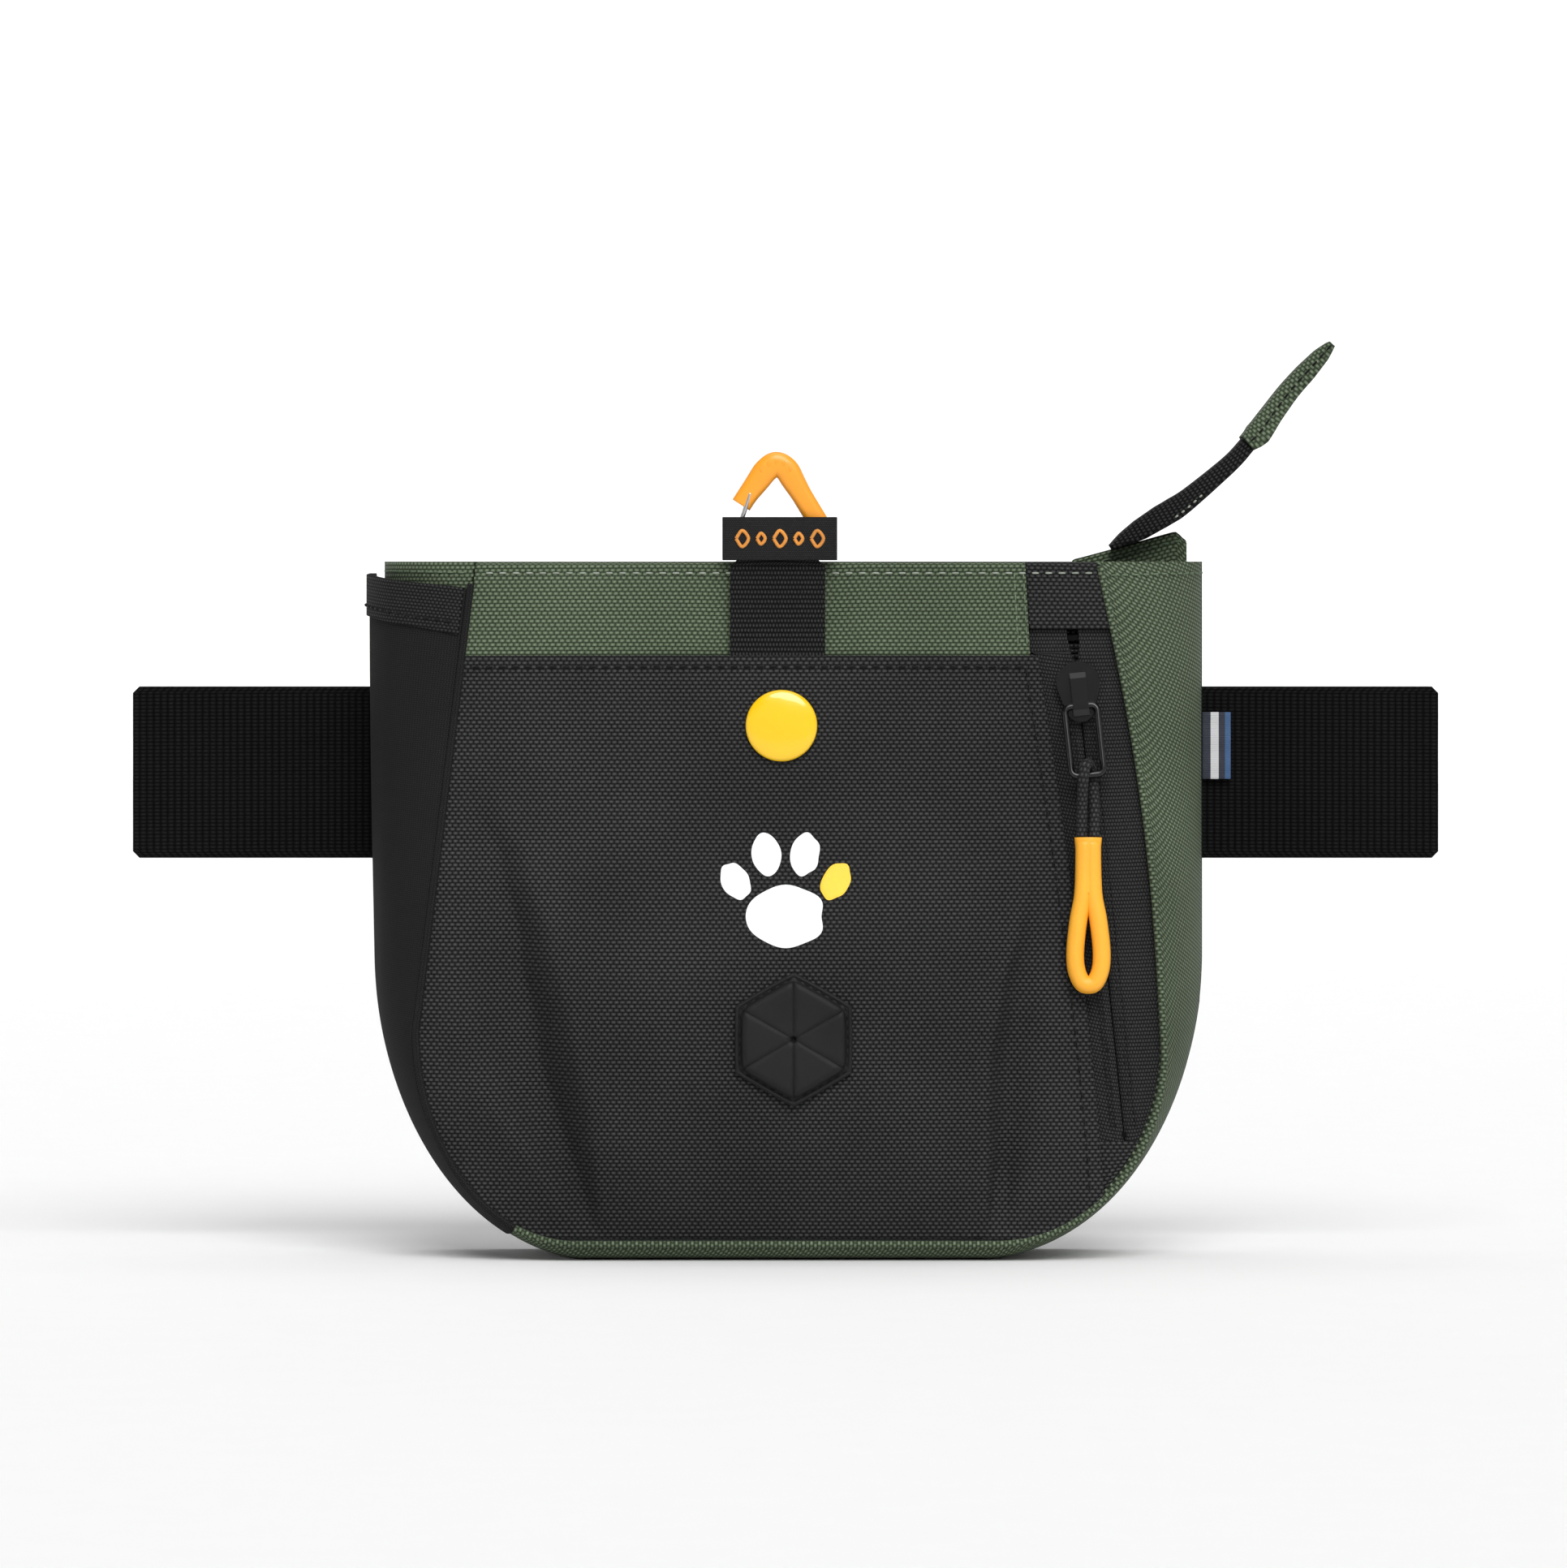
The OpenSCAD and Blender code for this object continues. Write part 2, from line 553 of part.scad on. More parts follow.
// The clip's outline lies in X and Z, centred on the loop in Y
clip_t = 5;
apex = [-2.1, body_h + 23.2];
nose = [-9.9, body_h + 14.2];
shoulder = [8.2, body_h + 8.6];
gate_pivot = [bar_x0 + 0.4, bar_z];
gate_tip = [-8.6, body_h + 16.2];
module stroke(a, ra, b, rb) hull() {
    translate(a) circle(ra, $fn = 32);
    translate(b) circle(rb, $fn = 32);
}
module clip_slab(t) translate([0, rim_point[1] + t / 2, 0]) rotate([90, 0, 0]) linear_extrude(t) children();
module clip_body() color("orange") difference() {
    union() {
        clip_slab(clip_t) {
            stroke(apex, 2.9, [-7.4, body_h + 16.6], 2.5);
            stroke(apex, 2.9, shoulder, 2.4);
            stroke(shoulder, 2.4, [bar_x1, bar_z], 2.2);
        }
        clip_slab(2.4) stroke([-7.4, body_h + 16.6], 2.5, nose, 2.6);
        translate([bar_x0, rim_point[1], bar_z]) rotate([0, 90, 0])
            cylinder(h = bar_x1 - bar_x0, r = bar_r, $fn = fine);
        clip_slab(2.4) translate(gate_pivot) circle(1.9, $fn = fine);
    }
    // Notch for the gate's end, open to the inside
    translate([gate_tip[0] - 1, rim_point[1] - 5, gate_tip[1] - 2.3]) cube([12, 10, 3.3]);
    // Room for the gate's feet beside its boss
    for (side = [-1, 1]) translate([bar_x0 - 3, rim_point[1] + side * 2.3 - 1, bar_z - 3])
        cube([5.2, 2, 6]);
    translate([gate_pivot[0], rim_point[1] - 5, gate_pivot[1]]) rotate([-90, 0, 0])
        cylinder(h = 10, r = gate_r + 0.08, $fn = fine);
    // Relief so that the gate's legs pass the nose
    for (side = [-1, 1]) translate([-16, rim_point[1] + side * 3.4 - 2.1, body_h + 6])
        cube([9.4, 4.2, 9.2]);
}
gate_r = 0.55;
gate_half = 1.95;
module clip_gate() color("silver") {
    y = rim_point[1];
    wire([[gate_pivot[0], y - 0.2, gate_pivot[1]], [gate_pivot[0], y - gate_half, gate_pivot[1]],
          [gate_tip[0], y - gate_half, gate_tip[1]], [gate_tip[0], y + gate_half, gate_tip[1]],
          [gate_pivot[0], y + gate_half, gate_pivot[1]], [gate_pivot[0], y + 0.2, gate_pivot[1]]],
         gate_r);
}

// ---- Closing flap at the right of the mouth, with its strap and pull tab ----
flap_x0 = 69.5;
flap_x1 = 97.4;
flap_y = 13.4;
flap_rise = 6.8;
flap_low = body_h - 15;
flap_r_corner = 3;
module flap_plan(inset) offset(r = -inset) hull() {
    translate([flap_x0 + 1, body_h - 1]) circle(1, $fn = 32);
    translate([flap_x1 - flap_r_corner, body_h + flap_rise - flap_r_corner]) circle(flap_r_corner, $fn = 32);
    translate([flap_x1 - 7, flap_low + 1]) circle(1, $fn = 32);
    translate([flap_x0 + 2, flap_low + 5]) circle(1, $fn = 32);
}
module gusset_flap() color("darkolivegreen") for (y = [flap_y, flap_y + 2.4])
    upright(y, 1) flap_plan(0);
module flap_board() color([0.85, 0.85, 0.8]) upright(flap_y + 1.3, 1.2) flap_plan(1.5);

tab_w = 18;
tab_y = 5;
strap_end = [112.7, body_h + 29];
tab_end = [131.3, body_h + 52.6];
module across(y, w) translate([0, y + w, 0]) rotate([90, 0, 0]) linear_extrude(w) children();
// Height of the flap's sloping top edge at x
function flap_top(x) = body_h + 0.2 + flap_rise * clamp01((x - flap_x0) / (flap_x1 - flap_x0 - 3));
anchor_x0 = 78.5;
anchor_x1 = 91.5;
anchor_t = 1.5;
module strap_anchor() color([0.1, 0.1, 0.1]) across(tab_y, tab_w) polygon([
    [anchor_x0, flap_top(anchor_x0) + gap], [anchor_x0, flap_top(anchor_x0) + gap + anchor_t],
    [anchor_x1, flap_top(anchor_x1) + gap + anchor_t], [anchor_x1, flap_top(anchor_x1) + gap]]);
pull_pivot = [88, flap_top(88) + gap + anchor_t + 1.8];
// The strap's lower end is rounded about its pivot
module tab_strap() color([0.1, 0.1, 0.1]) across(tab_y, tab_w) polygon(concat(
    [for (i = [0 : 6]) pull_pivot + 1.5 * [cos(132 + 30 * i), sin(132 + 30 * i)]],
    [[98.4, body_h + 12.8], [106.6, body_h + 20.2], strap_end + [1.2, -1.2],
     strap_end + [-1.2, 1.2], [104, body_h + 23], [95.5, body_h + 15.6]]));
module pull_tab() color("darkolivegreen") across(tab_y - 1, tab_w + 2) hull() {
    translate(strap_end + [2.1, 2.4]) circle(2.7, $fn = 32);
    translate((strap_end + tab_end) / 2 + [0.2, 0]) circle(2.9, $fn = 32);
    translate(tab_end) circle(1.4, $fn = 32);
}

back_panel();
left_gusset();
right_gusset();
bottom_gusset();
back_liner();
gusset_liner();
back_stay();
belt_sleeve();
side_label();
stretch_pocket();
stretch_pocket_binding();
inner_panel();
front_liner();
front_panel();
front_stay();
rim_band();
web_strap();
zip_head_patch();
zip_foot_patch();
zip_tape_inner();
zip_tape_outer();
zip_coils();
zip_end_stops();
snap_stud();
pocket_panel();
pocket_hem();
bag_dispenser();
snap_cap();
snap_socket();
slider_body();
slider_bridge();
puller_loop();
pull_cord();
pull_grip();
web_loop();
woven_label();
clip_body();
clip_gate();
gusset_flap();
flap_board();
strap_anchor();
tab_strap();
pull_tab();
belt_strap();
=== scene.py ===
import math
from math import cos, exp, pi, radians, sin, sqrt
import random

import bpy
import numpy as np
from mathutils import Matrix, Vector


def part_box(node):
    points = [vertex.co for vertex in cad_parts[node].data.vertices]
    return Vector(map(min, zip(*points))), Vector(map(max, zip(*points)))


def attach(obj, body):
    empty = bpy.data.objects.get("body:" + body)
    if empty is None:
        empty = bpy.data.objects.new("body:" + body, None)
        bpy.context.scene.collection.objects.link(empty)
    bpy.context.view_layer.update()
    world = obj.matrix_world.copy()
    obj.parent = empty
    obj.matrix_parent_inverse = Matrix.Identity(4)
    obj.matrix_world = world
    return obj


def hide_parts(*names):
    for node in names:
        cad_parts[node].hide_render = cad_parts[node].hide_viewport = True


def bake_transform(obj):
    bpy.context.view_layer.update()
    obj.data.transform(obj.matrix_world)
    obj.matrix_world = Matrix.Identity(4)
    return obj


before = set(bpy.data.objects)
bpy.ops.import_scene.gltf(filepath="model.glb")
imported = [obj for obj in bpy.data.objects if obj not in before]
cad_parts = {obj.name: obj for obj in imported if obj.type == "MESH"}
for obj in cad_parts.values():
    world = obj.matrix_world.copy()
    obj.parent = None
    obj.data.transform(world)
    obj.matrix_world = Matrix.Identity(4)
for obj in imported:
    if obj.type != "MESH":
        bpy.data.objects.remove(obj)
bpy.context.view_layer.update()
scene = bpy.context.scene

# ------------------------------------------------------------------ frame of the front face
# Everything below is in millimetres until a mesh is made.
LEAN = radians(4.1)
SIN, COS = sin(LEAN), cos(LEAN)
FRONT_Y = -24.0
BODY_H = 167.3
RIM_W = BODY_H / COS
BACK_Y = 22.0
FRONT_OUT = (0, -COS, SIN)


def front(x, w, n):
    """A point x across, w up the leaning front face and n out of it."""
    return np.array([x, FRONT_Y + w * SIN - n * COS, w * COS + n * SIN])


def gap(a, b):
    return float(np.linalg.norm(np.array(b) - np.array(a)))


def mix(a, b, t):
    return a + (b - a) * t


def clamp(t):
    return min(1.0, max(0.0, t))


def ease(t):
    t = clamp(t)
    return t * t * (3 - 2 * t)


def bell(d, width):
    return exp(-(d / width) ** 2)


def along(points, v):
    """Reads x at height v from given (x, v) points, smoothly."""
    pts = sorted(points, key=lambda p: p[1])
    if v <= pts[0][1]:
        return pts[0][0]
    for (x0, v0), (x1, v1) in zip(pts, pts[1:]):
        if v <= v1:
            t = (v - v0) / (v1 - v0)
            return mix(x0, x1, t * 0.4 + ease(t) * 0.6)
    return pts[-1][0]


# ------------------------------------------------------------------ mesh helpers
def new_object(name, verts_mm, faces, material, uvs=None):
    mesh = bpy.data.meshes.new(name)
    mesh.from_pydata([tuple(float(c) * 0.001 for c in v) for v in verts_mm], [], faces)
    mesh.validate()
    if uvs is not None:
        layer = mesh.uv_layers.new(name="UVMap")
        for loop in mesh.loops:
            u, v = uvs[loop.vertex_index]
            layer.data[loop.index].uv = (u * 0.01, v * 0.01)
    mesh.polygons.foreach_set("use_smooth", [True] * len(mesh.polygons))
    mesh.materials.append(material)
    mesh.update()
    obj = bpy.data.objects.new(name, mesh)
    scene.collection.objects.link(obj)
    return obj


def grid_faces(rows, cols, closed=False):
    faces = []
    for i in range(rows - 1):
        for j in range(cols if closed else cols - 1):
            k = (j + 1) % cols
            faces.append((i * cols + j, i * cols + k, (i + 1) * cols + k, (i + 1) * cols + j))
    return faces


def tube_faces(rows, sides):
    """Faces round a tube of points, with both ends closed."""
    faces = grid_faces(rows, sides, closed=True)
    faces.append(tuple(range(sides - 1, -1, -1)))
    faces.append(tuple((rows - 1) * sides + k for k in range(sides)))
    return faces


def flipped(faces):
    return [tuple(reversed(f)) for f in faces]


def front_uvs(verts):
    return [(float(v[0]), float(v[2])) for v in verts]


MIDDLE = np.array([0.0, 4.0, 90.0])


def faces_away(grid, face):
    """True if the grid's faces, as numbered, look the way that its outer side should."""
    total = 0.0
    for i in range(len(grid) - 1):
        for j in range(0, len(grid[0]) - 1, 3):
            p = np.array(grid[i][j], float)
            normal = np.cross(np.array(grid[i][j + 1]) - p, np.array(grid[i + 1][j]) - p)
            total += float(np.dot(normal, p - MIDDLE if face is None else face))
    return total > 0


def grid_object(name, grid, material, uvs=None, thick=0.0, face=(0, -1, 0), edge=0.0):
    """A sheet from rows of points, with UVs in millimetres, thickened behind its outer side."""
    rows, cols = len(grid), len(grid[0])
    faces = grid_faces(rows, cols)
    if not faces_away(grid, face):
        faces = flipped(faces)
    verts = [p for row in grid for p in row]
    if uvs is None:
        uvs = []
        v = [0.0] * cols
        for i, row in enumerate(grid):
            u = 0.0
            for j, p in enumerate(row):
                if j:
                    u += gap(row[j - 1], p)
                if i:
                    v[j] += gap(grid[i - 1][j], p)
                uvs.append((u, v[j]))
    else:
        uvs = [q for row in uvs for q in row]
    obj = new_object(name, verts, faces, material, uvs)
    if thick:
        solid = obj.modifiers.new("thickness", "SOLIDIFY")
        solid.thickness = thick * 0.001
        solid.offset = -1
        solid.use_even_offset = True
        if edge:
            bevel = obj.modifiers.new("edge", "BEVEL")
            bevel.width = edge * 0.001
            bevel.segments = 2
            bevel.limit_method = "ANGLE"
            bevel.angle_limit = radians(50)
    return obj


def bake(obj):
    """Applies the modifiers, so that the mesh is final."""
    graph = bpy.context.evaluated_depsgraph_get()
    mesh = bpy.data.meshes.new_from_object(obj.evaluated_get(graph))
    obj.modifiers.clear()
    obj.data = mesh
    return obj


def frame_at(path, i, up):
    t = np.array(path[min(i + 1, len(path) - 1)], float) - np.array(path[max(i - 1, 0)], float)
    t /= np.linalg.norm(t)
    side = np.cross(t, up)
    if np.linalg.norm(side) < 1e-6:
        side = np.cross(t, (1.0, 0.0, 0.0))
    side /= np.linalg.norm(side)
    return t, side, np.cross(side, t)


def sweep(name, path, section, material, up=(0, 1, 0), scale=None):
    """Carries a closed section, (side, up) points, along a path."""
    up = np.array(up, float)
    verts, uvs = [], []
    run = 0.0
    for i, p in enumerate(path):
        if i:
            run += gap(path[i - 1], p)
        _, side, top = frame_at(path, i, up)
        k = scale[i] if scale is not None else (1.0, 1.0)
        around = 0.0
        for j, (a, b) in enumerate(section):
            if j:
                around += math.dist(section[j], section[j - 1])
            verts.append(np.array(p, float) + side * a * k[0] + top * b * k[1])
            uvs.append((around, run))
    return new_object(name, verts, tube_faces(len(path), len(section)), material, uvs)


def ring(radius, sides):
    turns = [2 * pi * k / sides for k in range(sides)]
    return [(radius * cos(a), radius * sin(a)) for a in turns]


def smooth_path(points, per=8):
    """A Catmull-Rom curve through given points."""
    p = [np.array(q, float) for q in points]
    p = [2 * p[0] - p[1]] + p + [2 * p[-1] - p[-2]]
    out = []
    for i in range(1, len(p) - 2):
        for k in range(per):
            t = k / per
            out.append(0.5 * ((2 * p[i]) + (p[i + 1] - p[i - 1]) * t
                              + (2 * p[i - 1] - 5 * p[i] + 4 * p[i + 1] - p[i + 2]) * t * t
                              + (3 * p[i] - p[i - 1] - 3 * p[i + 1] + p[i + 2]) * t ** 3))
    out.append(p[-2])
    return out


def lathe(name, profile, material, place, sides=64):
    """Turns a profile of (radius, height) about place(x, y, height)'s own axis."""
    verts, uvs = [], []
    for r, h in profile:
        for k in range(sides):
            a = 2 * pi * k / sides
            verts.append(place(r * cos(a), r * sin(a), h))
            uvs.append((r * cos(a), r * sin(a)))
    return new_object(name, verts, tube_faces(len(profile), sides), material, uvs)


STITCH_LIFT = 0.12
# Along the stitch from 0 to 1: how full the thread is, and how far it rises
STITCH_SHAPE = ((0, 0.25, -0.5), (0.12, 0.85, 0.1), (0.5, 1.0, 0.35), (0.88, 0.85, 0.1), (1, 0.25, -0.5))


def stitches(name, path, out, material, length=2.3, space=1.1, r=0.33, body=None):
    """One row of thread stitches along a path; out is the face's outward direction."""
    pts = [np.array(p, float) for p in path]
    dist = [0.0]
    for a, b in zip(pts, pts[1:]):
        dist.append(dist[-1] + gap(a, b))

    def at(s):
        for i in range(1, len(pts)):
            if s <= dist[i] or i == len(pts) - 1:
                span = max(1e-9, dist[i] - dist[i - 1])
                return mix(pts[i - 1], pts[i], min(1.0, (s - dist[i - 1]) / span))

    verts, faces, uvs = [], [], []
    s = space
    while s + length < dist[-1]:
        a, b = at(s), at(s + length)
        t = (b - a) / np.linalg.norm(b - a)
        o = np.array(out, float)
        side = np.cross(t, o)
        side /= np.linalg.norm(side)
        o = np.cross(side, t)
        base = len(verts)
        for q, size, h in STITCH_SHAPE:
            c = mix(a, b, q) + o * (STITCH_LIFT + r * h)
            for k in range(6):
                ang = 2 * pi * k / 6
                verts.append(c + r * size * (cos(ang) * side + sin(ang) * o))
                uvs.append((q * length, ang))
        for i in range(4):
            for k in range(6):
                m = (k + 1) % 6
                faces.append((base + i * 6 + k, base + i * 6 + m,
                              base + (i + 1) * 6 + m, base + (i + 1) * 6 + k))
        s += length + space
    row = new_object(name, verts, faces, material, uvs)
    if body:
        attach(row, body)
    return row


def box_mm(node):
    """A CAD node's x0, x1, y0, y1, z0, z1."""
    lo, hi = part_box(node)
    return [c * 1000 for c in (lo.x, hi.x, lo.y, hi.y, lo.z, hi.z)]


def stand_in(obj, slot, *nodes):
    """Hides the CAD nodes whose place obj takes."""
    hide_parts(*nodes)


def dress(obj, slot, body, *nodes):
    stand_in(obj, slot, *nodes)
    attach(obj, body)


# ------------------------------------------------------------------ materials
def material(name, rough=0.6, sheen=0.0, coat=0.0, metal=0.0, coat_rough=0.1, gloss=0.5):
    mat = bpy.data.materials.new(name)
    mat.use_nodes = True
    shader = mat.node_tree.nodes["Principled BSDF"]
    for socket, value in (("Roughness", rough), ("Metallic", metal), ("Sheen Weight", sheen),
                          ("Sheen Roughness", 0.4), ("Coat Weight", coat), ("Coat Roughness", coat_rough),
                          ("Specular IOR Level", gloss)):
        shader.inputs[socket].default_value = value
    return mat


class Nodes:
    """Short names for building one material's nodes."""

    def __init__(self, mat):
        self.tree = mat.node_tree
        self.shader = self.tree.nodes["Principled BSDF"]

    def link(self, a, b):
        self.tree.links.new(a, b)

    def math(self, op, a, b=0.0, c=0.0):
        node = self.tree.nodes.new("ShaderNodeMath")
        node.operation = op
        for socket, value in zip(node.inputs, (a, b, c)):
            if isinstance(value, (int, float)):
                socket.default_value = value
            else:
                self.link(value, socket)
        return node.outputs[0]

    def noise(self, vector, scale, detail=3.0, rough=0.5):
        node = self.tree.nodes.new("ShaderNodeTexNoise")
        node.inputs["Scale"].default_value = scale
        node.inputs["Detail"].default_value = detail
        node.inputs["Roughness"].default_value = rough
        self.link(vector, node.inputs["Vector"])
        return node.outputs["Fac"]

    def object_coords(self):
        return self.tree.nodes.new("ShaderNodeTexCoord").outputs["Object"]

    def uv(self):
        node = self.tree.nodes.new("ShaderNodeUVMap")
        node.uv_map = "UVMap"
        return node.outputs[0]

    def split(self, vector):
        node = self.tree.nodes.new("ShaderNodeSeparateXYZ")
        self.link(vector, node.inputs[0])
        return node.outputs

    def ramp(self, value, stops):
        node = self.tree.nodes.new("ShaderNodeValToRGB")
        ramp = node.color_ramp
        while len(ramp.elements) < len(stops):
            ramp.elements.new(0.5)
        for element, (pos, colour) in zip(ramp.elements, stops):
            element.position = pos
            element.color = (*colour, 1.0)
        self.link(value, node.inputs[0])
        return node.outputs[0]

    def bump(self, height, distance, strength=1.0):
        node = self.tree.nodes.new("ShaderNodeBump")
        node.inputs["Distance"].default_value = distance
        node.inputs["Strength"].default_value = strength
        self.link(height, node.inputs["Height"])
        self.link(node.outputs[0], self.shader.inputs["Normal"])

    def colour(self, socket):
        self.link(socket, self.shader.inputs["Base Color"])

    def roughness(self, value, lo, hi):
        node = self.tree.nodes.new("ShaderNodeMapRange")
        node.inputs["To Min"].default_value = lo
        node.inputs["To Max"].default_value = hi
        self.link(value, node.inputs["Value"])
        self.link(node.outputs[0], self.shader.inputs["Roughness"])


def woven(name, dark, mid, light, cell=(1.44, 0.95), offset=0.5, depth=0.22, rough=(0.5, 0.8),
          sheen=0.02, flat=False, patch=0.25, gloss=0.22):
    """A cloth of threads: each cell is one raised thread crossing, in UV millimetres."""
    mat = material(name, sheen=sheen, gloss=gloss)
    n = Nodes(mat)
    if flat:
        x, y, z = n.split(n.object_coords())
        u, v = n.math("MULTIPLY", x, 1000.0 / cell[0]), n.math("MULTIPLY", z, 1000.0 / cell[1])
    else:
        x, y, z = n.split(n.uv())
        u, v = n.math("MULTIPLY", x, 100.0 / cell[0]), n.math("MULTIPLY", y, 100.0 / cell[1])
    row = n.math("FLOOR", v)
    shift = n.math("MULTIPLY", n.math("MODULO", n.math("ABSOLUTE", row), 2.0), offset)
    a = n.math("ABSOLUTE", n.math("SINE", n.math("MULTIPLY", n.math("ADD", u, shift), pi)))
    b = n.math("ABSOLUTE", n.math("SINE", n.math("MULTIPLY", v, pi)))
    thread = n.math("MULTIPLY", n.math("POWER", a, 0.6), n.math("POWER", b, 0.6))
    coords = n.object_coords()
    fine = n.noise(coords, 2600.0, 2.0)
    broad = n.noise(coords, 26.0, 3.0)
    # The colour follows the threads: each crown is painted lighter, a painted highlight, and the gaps between
    # threads darker, painted shade, on top of the cloth's own tone. The fine noise adds random specks of
    # tone.
    tone = n.math("MULTIPLY_ADD", fine, 0.35, n.math("MULTIPLY", thread, 0.75))
    tone = n.math("MULTIPLY_ADD", broad, patch, n.math("SUBTRACT", tone, patch / 2 + 0.1))
    n.colour(n.ramp(tone, [(0.12, dark), (0.6, mid), (0.98, light)]))
    n.roughness(n.math("ADD", n.math("MULTIPLY", thread, -0.4), 1.0), *rough)
    n.bump(n.math("ADD", thread, n.math("MULTIPLY", fine, 0.25)), depth * 0.001)
    return mat


def moulded(name, base, shade, rough=0.4, coat=0.0, grain=900.0, depth=0.04, metal=0.0,
            sheen=0.0, coat_rough=0.1, gloss=0.5):
    """Plastic, rubber or enamel with fine grain, slight tone change and worn roughness."""
    mat = material(name, rough, sheen, coat, metal, coat_rough, gloss)
    n = Nodes(mat)
    coords = n.object_coords()
    broad = n.noise(coords, 60.0, 4.0)
    fine = n.noise(coords, grain, 3.0)
    n.colour(n.ramp(n.math("MULTIPLY_ADD", fine, 0.3, n.math("MULTIPLY", broad, 0.7)),
                    [(0.3, shade), (0.65, base)]))
    n.roughness(fine, rough * 0.85, min(1.0, rough * 1.25))
    n.bump(fine, depth * 0.001, 0.5)
    return mat


# For each woven cloth, the first colour is the painted shade in the gaps between threads, the second the
# cloth's own tone and the third the painted highlight on the thread crowns.
GREEN = woven("green_oxford", (0.018, 0.026, 0.015), (0.082, 0.108, 0.066), (0.23, 0.285, 0.19), gloss=0.1)
BLACK = woven("black_oxford", (0.004, 0.004, 0.0042), (0.0265, 0.0265, 0.027), (0.088, 0.088, 0.09),
              gloss=0.06)
TWILL = woven("stretch_twill", (0.008, 0.008, 0.0082), (0.0165, 0.0165, 0.0168), (0.028, 0.028, 0.0285),
              cell=(0.8, 0.5), offset=0.25, depth=0.05, rough=(0.8, 0.95), gloss=0.05)
WEB = woven("strap_webbing", (0.002, 0.002, 0.002), (0.0135, 0.0135, 0.0138), (0.06, 0.06, 0.061),
            cell=(0.8, 1.15), offset=0.5, depth=0.25, rough=(0.55, 0.85), gloss=0.08)
BELT = woven("belt_webbing", (0.0015, 0.0015, 0.0015), (0.0062, 0.0062, 0.0062), (0.014, 0.014, 0.014),
             cell=(1.7, 0.9), offset=0.0, depth=0.2, rough=(0.8, 0.95), gloss=0.04)
BINDING = woven("elastic_binding", (0.004, 0.004, 0.004), (0.020, 0.020, 0.0203), (0.062, 0.062, 0.063),
                cell=(1.1, 0.8), offset=0.5, depth=0.16, rough=(0.6, 0.85), gloss=0.08)
LINING = woven("lining_taffeta", (0.26, 0.27, 0.28), (0.38, 0.39, 0.40), (0.52, 0.53, 0.54),
               cell=(0.5, 0.5), depth=0.03, rough=(0.45, 0.6), sheen=0.05)
TAPE = woven("zip_tape_knit", (0.004, 0.004, 0.004), (0.025, 0.025, 0.0253), (0.064, 0.064, 0.065),
             cell=(0.7, 0.9), offset=0.5, depth=0.12, rough=(0.65, 0.9), gloss=0.08)
LABEL = woven("label_weave", (0.005, 0.005, 0.005), (0.0165, 0.0165, 0.0168), (0.038, 0.038, 0.039),
              cell=(0.45, 0.45), depth=0.06, rough=(0.5, 0.7), gloss=0.08)
THREAD_DARK = moulded("thread_black", (0.012, 0.012, 0.0122), (0.004, 0.004, 0.004), rough=0.6, sheen=0.02,
                      gloss=0.12)
THREAD_GREEN = moulded("thread_green", (0.14, 0.19, 0.12), (0.08, 0.12, 0.07), rough=0.6, gloss=0.2)
THREAD_GREY = moulded("thread_grey", (0.34, 0.37, 0.32), (0.20, 0.23, 0.18), rough=0.6, sheen=0.1)
THREAD_ORANGE = moulded("thread_orange", (0.80, 0.30, 0.03), (0.50, 0.18, 0.02), rough=0.55, sheen=0.3)
ORANGE = moulded("orange_plastic", (0.93, 0.36, 0.018), (0.88, 0.32, 0.014), rough=0.36, coat=0.15,
                 grain=1500)
GRIP = moulded("grip_rubber", (0.95, 0.44, 0.028), (0.90, 0.38, 0.022), rough=0.44, grain=1500)
YELLOW = moulded("snap_enamel", (0.93, 0.56, 0.003), (0.90, 0.53, 0.002), rough=0.2, coat=0.6,
                 grain=300, depth=0.008, coat_rough=0.03)
RUBBER = moulded("black_rubber", (0.014, 0.014, 0.0142), (0.0095, 0.0095, 0.0097), rough=0.5, grain=1800,
                 depth=0.04, gloss=0.14)
PAINTED = moulded("painted_zinc", (0.006, 0.006, 0.0063), (0.004, 0.004, 0.0042), rough=0.16, grain=400,
                  depth=0.01, gloss=0.4)
STEEL = moulded("spring_steel", (0.62, 0.62, 0.63), (0.42, 0.42, 0.43), rough=0.22, metal=1.0)
STAY = moulded("stay_plastic", (0.62, 0.62, 0.60), (0.50, 0.50, 0.48), rough=0.6)
CORD = woven("cord_braid", (0.004, 0.004, 0.004), (0.020, 0.020, 0.021), (0.08, 0.08, 0.082),
             cell=(1.0, 1.1), offset=0.5, depth=0.2)
WHITE_INK = moulded("print_white", (0.85, 0.86, 0.88), (0.74, 0.75, 0.77), rough=0.55, grain=1400)
YELLOW_INK = moulded("print_yellow", (0.95, 0.60, 0.03), (0.85, 0.50, 0.02), rough=0.55, grain=1400)

# ------------------------------------------------------------------ outlines
FRONT_BASE = 4.0
CORNER_X = 50
BACK_CORNER_Z = 72.0
LEFT_BACK, RIGHT_BACK = 97.4, 101.2


def left_half(z):
    if z >= 55:
        return 74.8 + 13.6 * (167.3 - z) / 112.3
    return 50 + 38.4 * sqrt(max(0.0, 1 - ((55 - z) / 51) ** 2))


def right_half(z):
    if z >= 50:
        t = (z - 50) / 117.3
        return 90.6 - 15.4 * t + 3 * sin(pi * t)
    return 50 + 40.6 * sqrt(max(0.0, 1 - ((50 - z) / 46) ** 2))


